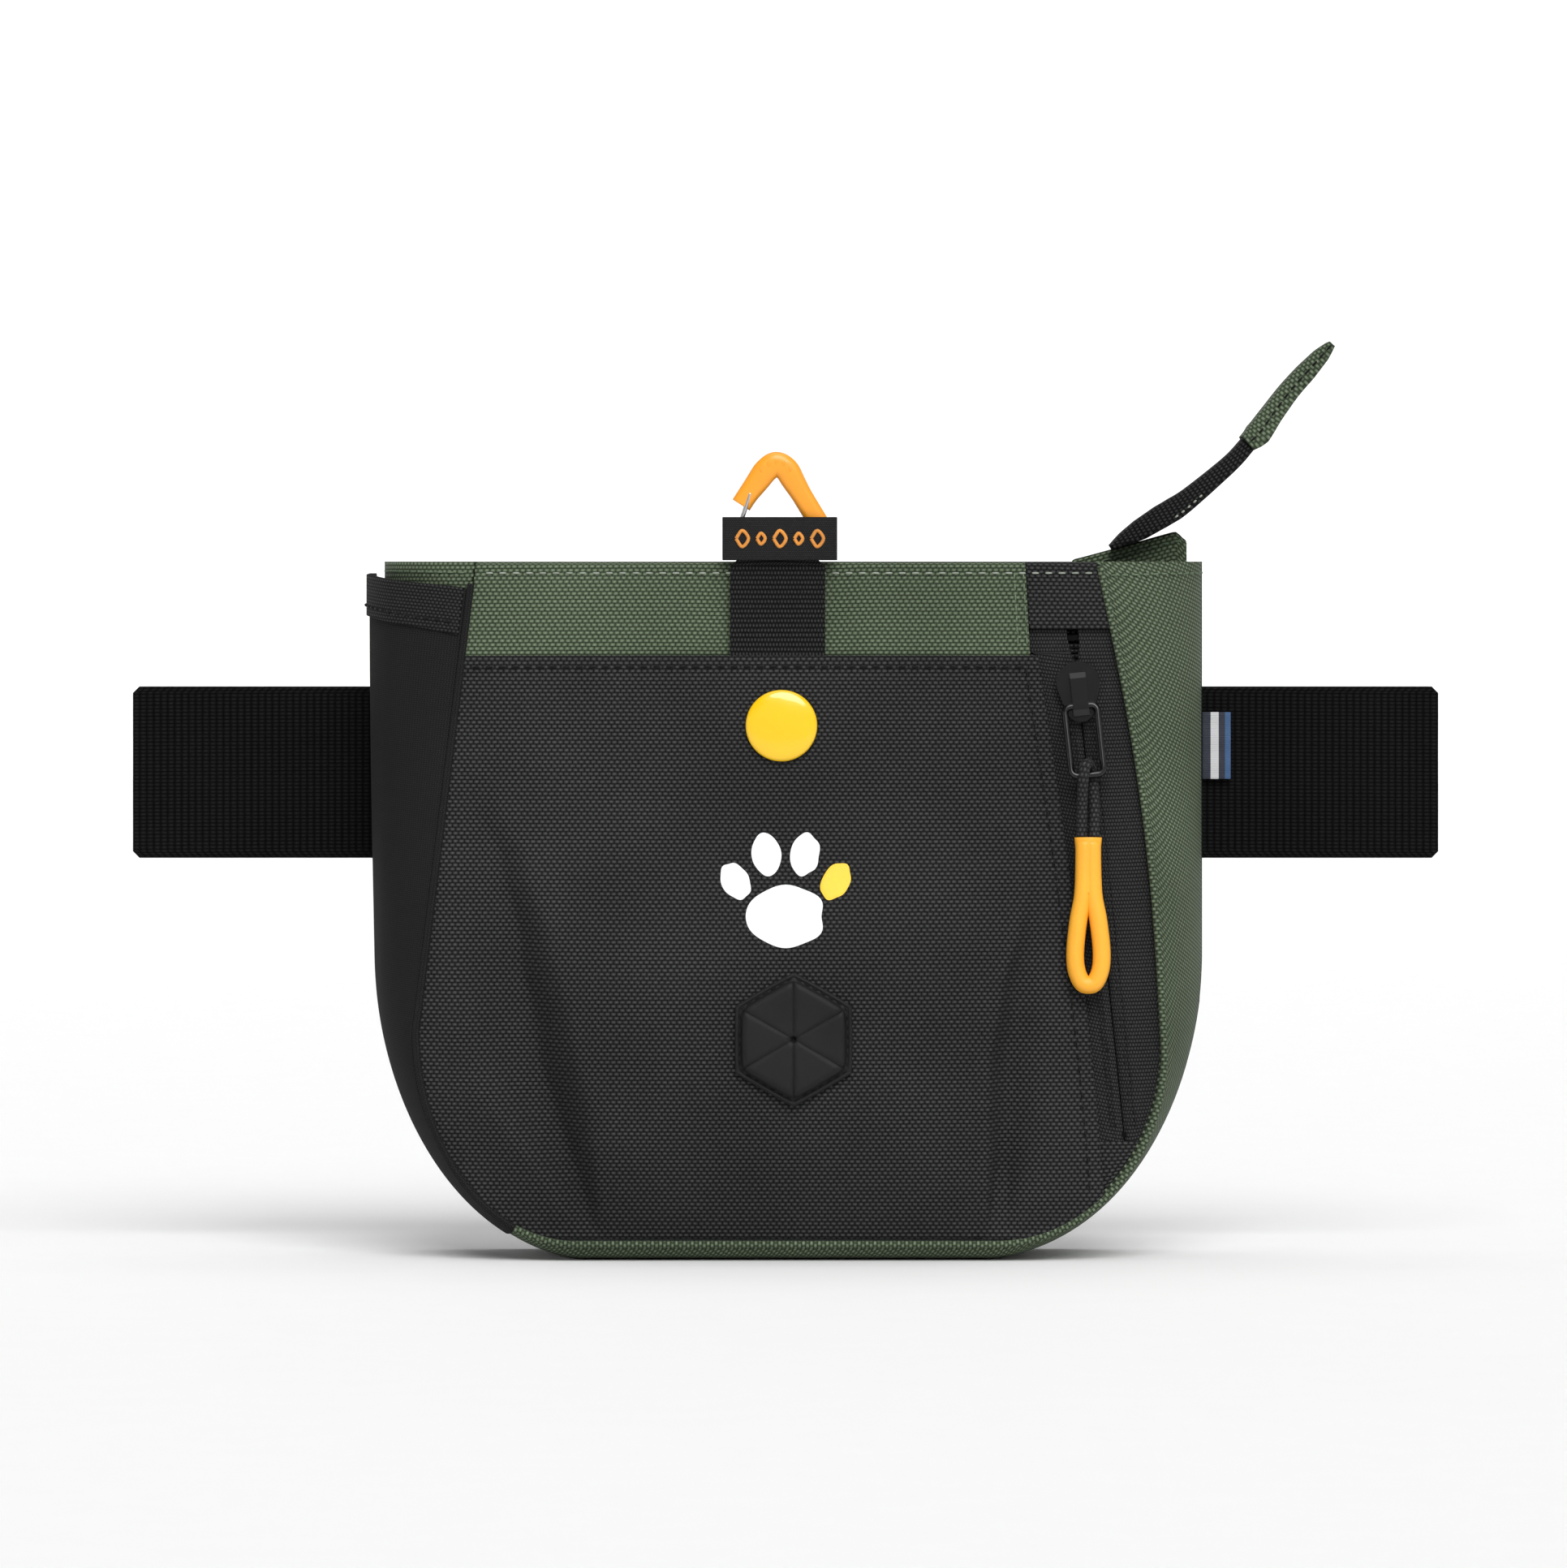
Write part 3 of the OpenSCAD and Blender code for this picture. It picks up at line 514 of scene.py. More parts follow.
def outline_pair(side, t):
    """Front and back outline points, x and z, for t 0 at the rim to 1 at the base's middle."""
    corner_f, corner_b = (55.0 if side < 0 else 50.0), BACK_CORNER_Z
    half = left_half if side < 0 else right_half
    back = LEFT_BACK if side < 0 else RIGHT_BACK
    if t < 0.42:
        q = t / 0.42
        zf, zb = mix(BODY_H, corner_f, q), mix(BODY_H, corner_b, q)
        return (side * half(zf), zf), (side * back, zb)
    if t < 0.84:
        a = pi / 2 * (t - 0.42) / 0.42
        zf = corner_f - (corner_f - FRONT_BASE) * sin(a)
        f = (side * (CORNER_X + (half(corner_f) - CORNER_X) * cos(a)), zf)
        return f, (side * (CORNER_X + (back - CORNER_X) * cos(a)), corner_b * (1 - sin(a)))
    q = (t - 0.84) / 0.16
    return (side * CORNER_X * (1 - q), FRONT_BASE), (side * CORNER_X * (1 - q), 0.0)


START = radians(20)


def wall_point(side, t, s, inset=0.0):
    """A point of the wrapped side wall: t along the outline, s from the front seam to the back."""
    f, b = outline_pair(side, t)
    a = mix(START, pi / 2, s)
    out = (sin(a) - sin(START)) / (1 - sin(START))
    back = (cos(START) - cos(a)) / cos(START)
    under = clamp((t - 0.42) / 0.42) ** 3
    down = mix(out, 1 - (1 - out) ** 6, under)
    y_front = FRONT_Y + f[1] / COS * SIN
    p = np.array([mix(f[0], b[0], out), mix(y_front, BACK_Y - 2.0, back), mix(f[1], b[1], down)])
    if inset:
        centre = np.array([0.0, p[1], 80.0])
        lift = clamp((t - 0.42) / 0.42)
        n = np.array([side * mix(1.0, 0.0, lift), 0.0, -lift])
        n /= np.linalg.norm(n)
        n[1] = -0.35 * (1 - s) * (1 - lift)
        p = p - n * inset
    return p


def fabric_noise(seed):
    rng = random.Random(seed)
    waves = [(rng.uniform(0.02, 0.09), rng.uniform(0.02, 0.09), rng.uniform(0, 6.28), rng.uniform(0.3, 1.0))
             for _ in range(7)]
    total = sum(w[3] for w in waves)

    def at(u, v):
        return sum(k * sin(a * u + b * v + c) for a, b, c, k in waves) / total
    return at


# ------------------------------------------------------------------ side walls, lining and back
def u_wall(name, inset, s0, s1, mat, thick, ripple=0.25):
    """The wall that wraps the left side, the base and the right side."""
    noise = fabric_noise(11)
    around, across = 90, 22
    ts = [i / around for i in range(around + 1)]
    order = [(-1, t) for t in ts] + [(1, t) for t in reversed(ts[:-1])]
    grid = []
    for side, t in order:
        row = []
        for j in range(across + 1):
            s = mix(s0, s1, j / across)
            p = wall_point(side, t, s, inset)
            if t < 0.8:
                k = sin(pi * s) * (1 - clamp((t - 0.6) / 0.2))
                p[0] -= side * ripple * (1 + noise(p[2], p[1])) * k
            row.append(p)
        grid.append(row)
    return grid_object(name, grid, mat, thick=thick, face=None)


def bend_with_mouth(obj):
    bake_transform(obj)


wall = bake(u_wall("side_wall_fabric", 0.0, 0.0, 1.0, GREEN, 1.3))
stand_in(wall, "green_fabric", "left_gusset", "right_gusset", "bottom_gusset")
bend_with_mouth(wall)

lining = bake(u_wall("side_lining", 1.9, 0.05, 0.985, LINING, 0.5, ripple=0.6))
stand_in(lining, "lining", "gusset_liner")
bend_with_mouth(lining)


def seam_cord(name, stops, mat):
    """The turned seam round the front face; stops are (side, t) pairs."""
    path = [wall_point(side, t, 0.0) + np.array([side * 0.15, -0.45, 0.0]) for side, t in stops]
    cord = sweep(name, path, ring(0.85, 10), mat)
    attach(cord, "front_wall")


T_END = 0.735
seam_cord("front_seam_green", [(-1, t) for t in np.linspace(T_END, 1, 60)]
          + [(1, t) for t in np.linspace(0.995, 0.004, 190)], GREEN)
seam_cord("front_seam_dark", [(-1, t) for t in np.linspace(0.02, T_END, 150)], TWILL)


def back_half(z, back, inset):
    if z >= BACK_CORNER_Z:
        return back - inset
    drop = (BACK_CORNER_Z - z) / (BACK_CORNER_Z - inset)
    return CORNER_X + (back - inset - CORNER_X) * sqrt(max(0.0, 1 - drop ** 2))


def panel_grid(y, inset, dome=0.0, top=BODY_H):
    """A flat panel inside the back outline."""
    rows, cols = 60, 60
    grid = []
    for i in range(rows + 1):
        q = i / rows
        z = mix(top, inset, q ** 0.9)
        row = []
        left, right = -back_half(z, LEFT_BACK, inset), back_half(z, RIGHT_BACK, inset)
        for j in range(cols + 1):
            c = j / cols
            puff = dome * sin(pi * c) * sin(pi * clamp(q))
            row.append(np.array([mix(left, right, c), y + puff, z]))
        grid.append(row)
    return grid


back = grid_object("back_panel_fabric", panel_grid(BACK_Y, 0.0), BLACK, thick=1.8,
                   face=(0, 1, 0))
dress(back, "black_fabric", "bag", "back_panel")
back_lining = grid_object("back_lining_fabric", panel_grid(19.0, 3.4, dome=-0.8, top=BODY_H - 0.6), LINING,
                          thick=0.5)
dress(back_lining, "lining", "bag", "back_liner")


def edge_path(y, inset):
    count = 120
    pts = []
    for side, ts in ((-1, range(count + 1)), (1, range(count - 1, -1, -1))):
        for k in ts:
            _, b = outline_pair(side, k / count)
            x = b[0] - side * inset * (1 if b[1] > 60 else 0.8)
            pts.append(np.array([x, y, b[1] + inset * (1 if b[1] < 60 else 0)]))
    return pts


binding = sweep("back_edge_binding", edge_path(BACK_Y - 0.4, 0.9), ring(1.15, 12), BINDING)
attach(binding, "bag")

# ------------------------------------------------------------------ belt and sleeve
def ribbon_grid(x0, x1, z0, z1, y, cols, rows):
    """Ribbed webbing with rounded corners."""
    corner = 1.6
    grid = []
    for i in range(rows + 1):
        z = mix(z0, z1, i / rows)
        edge = min(z - z0, z1 - z)
        cut = corner - sqrt(max(0.0, corner ** 2 - (corner - min(edge, corner)) ** 2))
        row = []
        for j in range(cols + 1):
            x = mix(x0 + cut, x1 - cut, j / cols)
            row.append(np.array([x, y + 0.12 * sin(z * 3.6), z]))
        grid.append(row)
    return grid


bx0, bx1, by, _, bz0, bz1 = box_mm("belt_strap")
PROUD_X, PROUD_Z = 2.6, 0.9
belt_rows = ribbon_grid(bx0 - PROUD_X, bx1 + PROUD_X, bz0 - PROUD_Z, bz1 + PROUD_Z, by, 160, 26)
belt = grid_object("belt_ribbed_strap", belt_rows, BELT, thick=1.7, edge=0.4)
dress(belt, "belt_webbing", "belt", "belt_strap")

sx0, sx1, _, _, sz0, sz1 = box_mm("belt_sleeve")
sleeve_noise = fabric_noise(5)


def sleeve_y(x, z):
    edge = min(z - sz0, sz1 - z)
    return BACK_Y + 0.9 + 3.2 * ease(edge / 7.0) + 0.2 * sleeve_noise(x, z)


sleeve_rows = [[np.array([x, sleeve_y(x, z), z]) for x in np.linspace(sx0, sx1, 80)]
               for z in np.linspace(sz1, sz0, 50)]
sleeve = grid_object("belt_sleeve_fabric", sleeve_rows, BLACK, thick=1.0, face=(0, 1, 0))
dress(sleeve, "black_fabric", "bag", "belt_sleeve")
for tag, z in (("upper", sz1 - 2.4), ("lower", sz0 + 2.4)):
    line = [np.array([x, sleeve_y(x, z), z]) for x in np.linspace(sx0, sx1, 40)]
    stitches("belt_sleeve_stitch_" + tag, line, (0, 1, 0), THREAD_GREY, body="bag")

# ------------------------------------------------------------------ front layers
def zip_x(w):
    return mix(69.2, 81.2, (148.5 - w) / 119.5)


def pocket_right(w):
    return 76.4 - 15.8 * clamp((w - 11) / 134) ** 1.3


def front_grid(x0, x1, w0, w1, n, cols, rows, bump=None):
    """Rows across the front face between x0(w) and x1(w), n out of it."""
    grid = []
    for i in range(rows + 1):
        w = mix(w0, w1, i / rows)
        xs = [mix(x0(w), x1(w), j / cols) for j in range(cols + 1)]
        grid.append([front(x, w, n + (bump(x, w) if bump else 0.0)) for x in xs])
    return grid


def seam_left(w):
    return -left_half(w * COS) + 0.3


def seam_right(w):
    return right_half(w * COS) - 0.3


def inner_left(w):
    return seam_left(w) + 1.8


def inner_right(w):
    return seam_right(w) - 1.8


inner_rows = front_grid(inner_left, inner_right, RIM_W - 0.4, 6.6, -4.6, 60, 60)
inner = grid_object("zip_pocket_lining", inner_rows, BLACK, thick=0.9)
dress(inner, "black_fabric", "front_wall", "inner_panel")
wavy = fabric_noise(21)
lining_rows = front_grid(inner_left, inner_right, RIM_W - 0.8, 7.0, -5.9, 60, 60,
                         bump=lambda x, w: -0.6 * abs(wavy(x, w)))
front_lining = grid_object("front_lining_fabric", lining_rows, LINING, thick=0.4)
dress(front_lining, "lining", "front_wall", "front_liner")
base_rows = front_grid(lambda w: seam_left(w) + 1.2, lambda w: min(pocket_right(w), seam_right(w)),
                       RIM_W - 0.3, 6.4, -1.3, 60, 60)
base_front = grid_object("front_panel_fabric", base_rows, BLACK, thick=0.9)
dress(base_front, "black_fabric", "front_wall", "front_panel")


def band_crease(x, w):
    up = clamp((w - 146) / 21)
    dip = -1.9 * bell(x + 14, 8) - 1.9 * bell(x - 11, 7) - 0.5 * bell(x - 34, 8) + 0.5 * bell(x + 46, 16)
    return dip * sin(pi * (0.2 + 0.7 * up)) + 0.3 * (1 - bell(w - 164.9, 0.7))


BAND_RIGHT = 57.6


def rim_wrap(x0, x1, bump, w_low, name, mat, slot, replaced, cols=150):
    """A band that runs up the front, over the rim and down inside."""
    path = [(w, 0.0) for w in np.linspace(w_low, RIM_W - 1.2, 26)]
    for k in range(1, 10):
        a = pi * k / 10
        path.append((RIM_W - 1.2 + 1.3 * sin(a), -3.0 + 3.0 * cos(a)))
    path += [(w, -6.0) for w in np.linspace(RIM_W - 1.4, RIM_W - 9.0, 8)]
    grid = []
    for w, n in path:
        xs = [mix(x0(w), x1(w), j / cols) for j in range(cols + 1)]
        outer = n > -0.5 and bump
        grid.append([front(x, w, n + 0.3 + (bump(x, w) if outer else 0.0)) for x in xs])
    obj = grid_object(name, grid, mat, thick=0.7)
    dress(obj, slot, "front_wall", *replaced)


def band_right(w):
    return BAND_RIGHT + 0.05 * (RIM_W - w)


rim_wrap(lambda w: seam_left(w) + 0.1, band_right, band_crease, 143.4,
         "rim_band_fabric", GREEN, "green_fabric", ["rim_band", "front_stay"])
rim_wrap(lambda w: band_right(w) + 0.1, lambda w: seam_right(w) - 0.1, None, 151.5,
         "zip_head_patch_fabric", BLACK, "black_fabric", ["zip_head_patch"], cols=30)


stitches("rim_stitch", [front(x, 164.9, 0.6) for x in np.linspace(-73.5, 74.5, 160)],
                       FRONT_OUT, THREAD_GREY, length=1.7, space=1.5, r=0.24, body="front_wall")
for k, x in enumerate((54.8, 57.0)):
    line = [front(x + 0.05 * (RIM_W - w), w, 0.6) for w in np.linspace(166, 146, 30)]
    stitches(f"rim_join_stitch_{k}", line, FRONT_OUT, THREAD_GREEN, length=1.6, space=1.0, r=0.22,
             body="front_wall")

# ------------------------------------------------------------------ front pocket
LEFT_RIDGE = [(-76, 126), (-69, 112), (-61, 95), (-55, 75), (-50, 55), (-46, 35), (-44, 18), (-43, 4)]
RIGHT_RIDGE = [(60, 98), (57, 83), (52, 64), (49, 46), (48.5, 4)]
POCKET_TOP = 145.0
SNAP_LEVEL, HEM_LEVEL, BULGE = 3.0, 1.3, 14.4
LEVEL_LOW, LEVEL_HIGH = 116.0, 137.5
pocket_noise = fabric_noise(3)


def pocket_rise(w):
    return sin(pi / 2 * clamp((w - 5.2) / 38))


def pocket_level(w):
    """How far the middle of the pocket stands out: full below, level under the snap."""
    if w < LEVEL_HIGH:
        return mix(BULGE, SNAP_LEVEL, ease((w - 66) / (LEVEL_LOW - 66)))
    return mix(SNAP_LEVEL, HEM_LEVEL, ease((w - LEVEL_HIGH) / (POCKET_TOP - LEVEL_HIGH)))


def crease(d, valley, depth):
    """A crisp ridge at d = 0, with a rounded valley a little beyond it on the negative side."""
    if d >= 0:
        return 0.12 * depth * bell(d - 1.5, 3.5)
    t = -d / valley
    return -depth * t * exp(1 - t)


def tuck(d, width, depth):
    """A rounded ridge at d = 0, a long slope down to the valley floor and a slow rise beyond."""
    t = -d / width
    return -depth * ease(t) * (1 - 0.75 * ease((t - 1) / 1.5))


def pocket_n(x, w, a):
    rise = pocket_rise(w)
    n = pocket_level(w) * (1 - abs(a) ** 3) * rise
    left_on = rise * (1 - ease((w - 74) / 52))
    right_on = ease((w + 8) / 32) * (1 - ease((w - 54) / 46))
    folds = tuck(x - along(LEFT_RIDGE, w), mix(4, 12, ease((w - 5) / 44)), 12.0 * left_on)
    folds += crease(along(RIGHT_RIDGE, w) - x, mix(1.0, 4.6, ease(w / 40)), 7.0 * right_on)
    hem = 0.45 * ease((w - 141.3) / 0.5)
    keep = 1 - abs(a) ** 6
    ripple = 0.3 * pocket_noise(x * 1.5, w * 1.5) * rise
    lip = 0.75 * ease((a - 0.9) / 0.08)
    return max(0.25, n + (folds + ripple) * keep) + hem + lip


def pocket_edges(w):
    return seam_left(w), min(pocket_right(w), seam_right(w))


def on_pocket(x, w, lift=0.0):
    x0, x1 = pocket_edges(w)
    return front(x, w, pocket_n(x, w, 2 * (x - x0) / (x1 - x0) - 1) + lift)


pocket_grid, COLS, ROWS = [], 230, 200
for i in range(ROWS + 1):
    w = mix(POCKET_TOP, 5.2, i / ROWS)
    x0, x1 = pocket_edges(w)
    pocket_grid.append([on_pocket(mix(x0, x1, j / COLS), w) for j in range(COLS + 1)])
pocket_uv = [front_uvs(row) for row in pocket_grid]
pocket = bake(grid_object("front_pocket_fabric", pocket_grid, BLACK, uvs=pocket_uv, thick=0.8))


def bend_with_pocket(obj):
    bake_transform(obj)


stand_in(pocket, "black_fabric", "pocket_panel", "pocket_hem")
bend_with_pocket(pocket)

hem_stitch = stitches("pocket_hem_stitch", [on_pocket(x, 142.2, 0.1) for x in np.linspace(-76.5, 59.5, 160)],
                      FRONT_OUT, THREAD_DARK, length=1.8, space=1.3, r=0.26)
bend_with_pocket(hem_stitch)
side_line = [on_pocket(pocket_right(w) - 3.4, w, 0.1) for w in np.linspace(143, 14, 120)]
side_stitch = stitches("pocket_side_stitch", side_line, FRONT_OUT, THREAD_DARK, length=1.8, space=1.3, r=0.24)
bend_with_pocket(side_stitch)


# ------------------------------------------------------------------ a plain paw print on the pocket
def blob(name, cx, cw, rx, rw, mat, turn, seed):
    """A thin print with an uneven edge, laid on the pocket."""
    rng = random.Random(seed)
    wob = [rng.uniform(-0.05, 0.05) for _ in range(9)]
    verts, faces = [], []
    rings, sides = 9, 56
    for r in range(rings + 1):
        for k in range(sides):
            a = 2 * pi * k / sides
            rr = r / rings * (1 + sum(wob[m] * cos((m + 2) * a) for m in range(6)) * 0.6)
            x, w = rx * rr * cos(a), rw * rr * sin(a)
            xr = x * cos(turn) - w * sin(turn)
            wr = x * sin(turn) + w * cos(turn)
            verts.append(on_pocket(cx + xr, cw + wr, 0.16 if r < rings else 0.02))
    faces = grid_faces(rings + 1, sides, closed=True)
    obj = new_object(name, verts, faces, mat, front_uvs(verts))
    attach(obj, "front_pocket")


blob("paw_print_pad", 0.0, 82.0, 9.5, 7.4, WHITE_INK, 0.0, 4)
for k, (x, w, rx, rw, turn) in enumerate(((-12.0, 90.5, 3.3, 4.7, 0.5), (-4.6, 97.0, 3.5, 5.2, 0.15),
                                          (4.6, 97.0, 3.5, 5.2, -0.15), (12.0, 90.5, 3.3, 4.7, -0.5))):
    blob(f"paw_print_toe_{k}", x, w, rx, rw, YELLOW_INK if k == 3 else WHITE_INK, turn, 10 + k)


# ------------------------------------------------------------------ snap and bag dispenser
def at_pocket(node_x, node_w, base):
    def place(x, y, h):
        return front(node_x + x, node_w + y, base + h)
    return place


cap_profile = [(7.2, 0.0), (8.2, 0.05), (8.55, 0.35), (8.6, 0.8), (8.35, 1.2), (7.7, 1.5), (6.6, 1.72),
               (5.0, 1.92), (3.2, 2.05), (1.4, 2.1), (0.3, 2.11)]
cap = lathe("snap_cap_dome", cap_profile, YELLOW, at_pocket(-1.0, 128.0, 3.2))
dress(cap, "snap_yellow", "front_pocket", "snap_cap")


def hex_point(r, a):
    """The rim of a pointy-topped hexagon with softened corners at angle a."""
    sharp = cos(pi / 6) / cos((a % (pi / 3)) - pi / 6)
    d = r * mix(sharp, 0.93, 0.08)
    return d * sin(a), d * cos(a)


def hex_stack(name, levels, mat, place, sides=120):
    verts, uvs = [], []
    for r, h in levels:
        for k in range(sides):
            x, y = hex_point(r, 2 * pi * k / sides)
            verts.append(place(x, y, h))
            uvs.append((x, y))
    return new_object(name, verts, flipped(tube_faces(len(levels), sides)), mat, uvs)


disp = at_pocket(1.9, 52.5, 14.6)
flange = hex_stack("dispenser_flange", [(15.8, 0.0), (16.1, 0.3), (16.1, 0.9), (15.8, 1.2), (15.3, 1.3),
                                        (15.1, 1.05), (14.8, 1.05), (14.6, 1.3), (12.0, 1.3)], RUBBER, disp)
dress(flange, "dispenser_rubber", "front_pocket", "bag_dispenser")


def flap(k):
    """One of the rubber triangles between two slits, domed and rounded."""
    centre = pi / 6 + pi / 3 * k
    r_out, steps = 13.7, 22
    verts = []
    for i in range(steps + 1):
        q = mix(0.08, 1.0, i / steps)
        for j in range(steps + 1):
            spread = mix(-1, 1, j / steps)
            a = centre + spread * (pi / 6)
            x, y = hex_point(r_out, a)
            x, y = x * q, y * q
            side_gap = 0.10 * spread
            tx, ty = cos(centre), -sin(centre)
            edge = max(bell(1 - abs(spread), 0.05 / q), bell(1 - q, 0.025), bell(q - 0.08, 0.03))
            verts.append(disp(x - tx * side_gap, y - ty * side_gap, 2.0 - 0.6 * edge - 0.3 * (1 - q)))
    faces = flipped(grid_faces(steps + 1, steps + 1))
    obj = new_object(f"dispenser_flap_{k}", verts, faces, RUBBER, front_uvs(verts))
    solid = obj.modifiers.new("thickness", "SOLIDIFY")
    solid.thickness = 0.0009
    solid.offset = -1
    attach(obj, "front_pocket")


for k in range(6):
    flap(k)
groove_line = [disp(*hex_point(14.8, 2 * pi * k / 240), 1.0) for k in range(241)]
stitches("dispenser_stitch", groove_line, FRONT_OUT, THREAD_DARK, length=1.5, space=0.7, r=0.24,
         body="front_pocket")

# ------------------------------------------------------------------ zip
def zip_gap(w):
    """Half the gap between the tapes: closed below the slider, open above it."""
    return 0.12 + 1.3 * ease((w - 140) / 10)


def tape(name, x0, x1, node):
    def ridge(x, w):
        d = abs(x - zip_x(w))
        return 0.35 * bell(d - 1.5, 0.8) - 0.45 * bell(d, 0.7)
    obj = grid_object(name, front_grid(x0, x1, 152.4, 27.5, -0.95, 34, 160, bump=ridge), TAPE, thick=0.6)
    dress(obj, "zip_tape", "front_wall", *node)


tape("zip_tape_left", lambda w: (pocket_right(min(w, 144)) - 0.6) if w < 146 else BAND_RIGHT + 0.7,
     lambda w: zip_x(w) - zip_gap(w), ["zip_tape_inner"])
tape("zip_tape_right", lambda w: zip_x(w) + zip_gap(w), lambda w: seam_right(w) - 0.2, ["zip_tape_outer"])
for tag, side in (("left", -1), ("right", 1)):
    for k, off in enumerate((1.9, 2.9)):
        line = [front(zip_x(w) + side * off, w, -0.75) for w in np.linspace(138, 31, 80)]
        stitches(f"zip_tape_stitch_{tag}_{k}", line, FRONT_OUT, THREAD_DARK,
                       length=0.8, space=0.7, r=0.17, body="front_wall")
foot_rows = front_grid(lambda w: min(pocket_right(w), seam_right(w) - 1.0) - 0.4, seam_right,
                       28.6, 8.0, -0.35, 20, 24)
foot = grid_object("zip_foot_patch_fabric", foot_rows, BLACK, thick=0.7)
dress(foot, "black_fabric", "front_wall", "zip_foot_patch")


def coil(name, side):
    """Small moulded turns along one edge of the zip."""
    verts, faces, uvs = [], [], []
    pitch, w = 1.25, 147.5
    while w > 30.5:
        c = front(zip_x(w) + side * 0.85, w, -1.75)
        base = len(verts)
        for dx in (-0.75, 0.75):
            for k in range(8):
                a = 2 * pi * k / 8
                turn = cos(a) * np.array([0, -COS, SIN]) + sin(a) * np.array([0, SIN, COS])
                verts.append(c + np.array([dx, 0, 0]) + 0.42 * turn)
                uvs.append((dx, a))
        faces += [(base + k, base + (k + 1) % 8, base + 8 + (k + 1) % 8, base + 8 + k) for k in range(8)]
        faces += [tuple(base + k for k in range(7, -1, -1)), tuple(base + 8 + k for k in range(8))]
        w -= pitch
    obj = new_object(name, verts, faces, TAPE, uvs)
    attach(obj, "front_wall")
    return obj


left_coil = coil("zip_coil_left", -1)
coil("zip_coil_right", 1)
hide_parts("zip_coils")

for node, mat in (("zip_end_stops", TAPE), ("slider_body", PAINTED), ("slider_bridge", PAINTED),
                  ("puller_loop", PAINTED), ("clip_gate", STEEL), ("snap_socket", STEEL),
                  ("snap_stud", STEEL), ("back_stay", STAY), ("front_stay", STAY), ("flap_board", STAY)):
    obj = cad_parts[node]
    obj.data.materials.clear()
    obj.data.materials.append(mat)
    for poly in obj.data.polygons:
        poly.use_smooth = node in ("puller_loop", "clip_gate")

# ------------------------------------------------------------------ cord and grip
TILT = math.atan((81.2 - 69.2) / 119.5)


LIFT = radians(8)
bar_x = zip_x(142.0) + (9.2 + 17 * cos(LIFT)) * sin(TILT)
bar_w = 142.0 - (9.2 + 17 * cos(LIFT)) * cos(TILT)
bar_n = 2.75 + 17 * sin(LIFT)


def pull(x, y, z):
    """Across, down and out from the puller's lower bar, where the cord is looped."""
    return front(bar_x + x, bar_w - y, bar_n + z)


cord_route = [(-1.5, 18, 0), (-1.5, 13, 0), (-1.5, 8, 0.6), (-1.4, 4, 1.8), (-1.2, 1, 2.5), (-0.8, -1.6, 2.0),
              (-0.3, -2.6, 0.8), (0.3, -2.6, -0.8), (0.8, -1.6, -2.0), (1.2, 1, -2.5), (1.4, 4, -1.8),
              (1.5, 8, -0.6), (1.5, 13, 0), (1.5, 18, 0)]
cord_path = smooth_path([pull(*p) for p in cord_route], per=6)
cord = sweep("zip_pull_cord", cord_path, ring(1.3, 14), CORD, up=(0, COS, -SIN))
dress(cord, "cord_fabric", "zip_pull", "pull_cord")


def grip_mesh():
    top, length, r = 15.0, 37.4, 2.15
    left = [(-0.9, top + 1.0), (-1.0, top + 8), (-1.3, top + 14), (-2.4, top + 20), (-3.15, top + 27),
            (-2.9, top + 31.5), (-1.6, top + 34.6), (0, top + length - r)]
    path = left + [(-x, y) for x, y in reversed(left[:-1])]
    pts = smooth_path([pull(x, y, 0) for x, y in path], per=8)
    return sweep("grip_teardrop", pts, ring(r, 20), GRIP, up=(0, COS, -SIN))


grip = grip_mesh()
dress(grip, "grip_rubber", "zip_pull", "pull_grip")
neck = sweep("grip_neck", smooth_path([pull(0, 15.0, 0), pull(0, 18, 0), pull(0, 24, 0), pull(0, 28.5, 0)]),
             ring(1.0, 20), GRIP, up=(0, COS, -SIN),
             scale=[(mix(3.3, 2.6, i / 24), mix(2.1, 1.9, i / 24)) for i in range(25)])
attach(neck, "zip_pull")

cord_len = sum(gap(a, b) for a, b in zip(cord_path, cord_path[1:])) * 0.001

# ------------------------------------------------------------------ web strap, label and clip
rim = front(0, RIM_W, -0.5)
BAR_Z = BODY_H + 4.2
STRAP_X = -1.9
strap_pts = [front(STRAP_X, w, 1.6) for w in np.linspace(143.6, 166.5, 16)]
loop_pts = []
for k in range(11):
    a = pi * k / 10
    loop_pts.append(np.array([STRAP_X, rim[1] - 2.8 * cos(a), BAR_Z + 2.8 * sin(a)]))
down_pts = [np.array([STRAP_X, rim[1] + 2.8 + 0.25 * k, BAR_Z - 1.6 * k]) for k in range(1, 7)]
run = strap_pts + [np.array([STRAP_X, rim[1] - 2.8, BAR_Z - 2.5])] + loop_pts + down_pts
widths = [22.8 * (clamp(1.0 - 0.34 * ease((p[2] - 166.8) / 3.0)) if i < len(run) - 6 else 0.66)
          for i, p in enumerate(run)]


def ribbon(name, path, widths_mm, thick, mat):
    """A flat ribbon whose width lies along x."""
    side = np.array((1, 0, 0), float)
    cols = 16
    grid = [[np.array(p) + side * width * (j / cols - 0.5) for j in range(cols + 1)]
            for p, width in zip(path, widths_mm)]
    return grid_object(name, grid, mat, thick=thick, edge=0.3)


strap = ribbon("webbing_strap", run, widths, 1.2, WEB)
dress(strap, "webbing", "front_wall", "web_strap", "web_loop")

lx0, lx1, ly, _, lz0, lz1 = box_mm("woven_label")


def label_y(x):
    return ly - 0.25 * sin(pi * (x - lx0) / (lx1 - lx0))


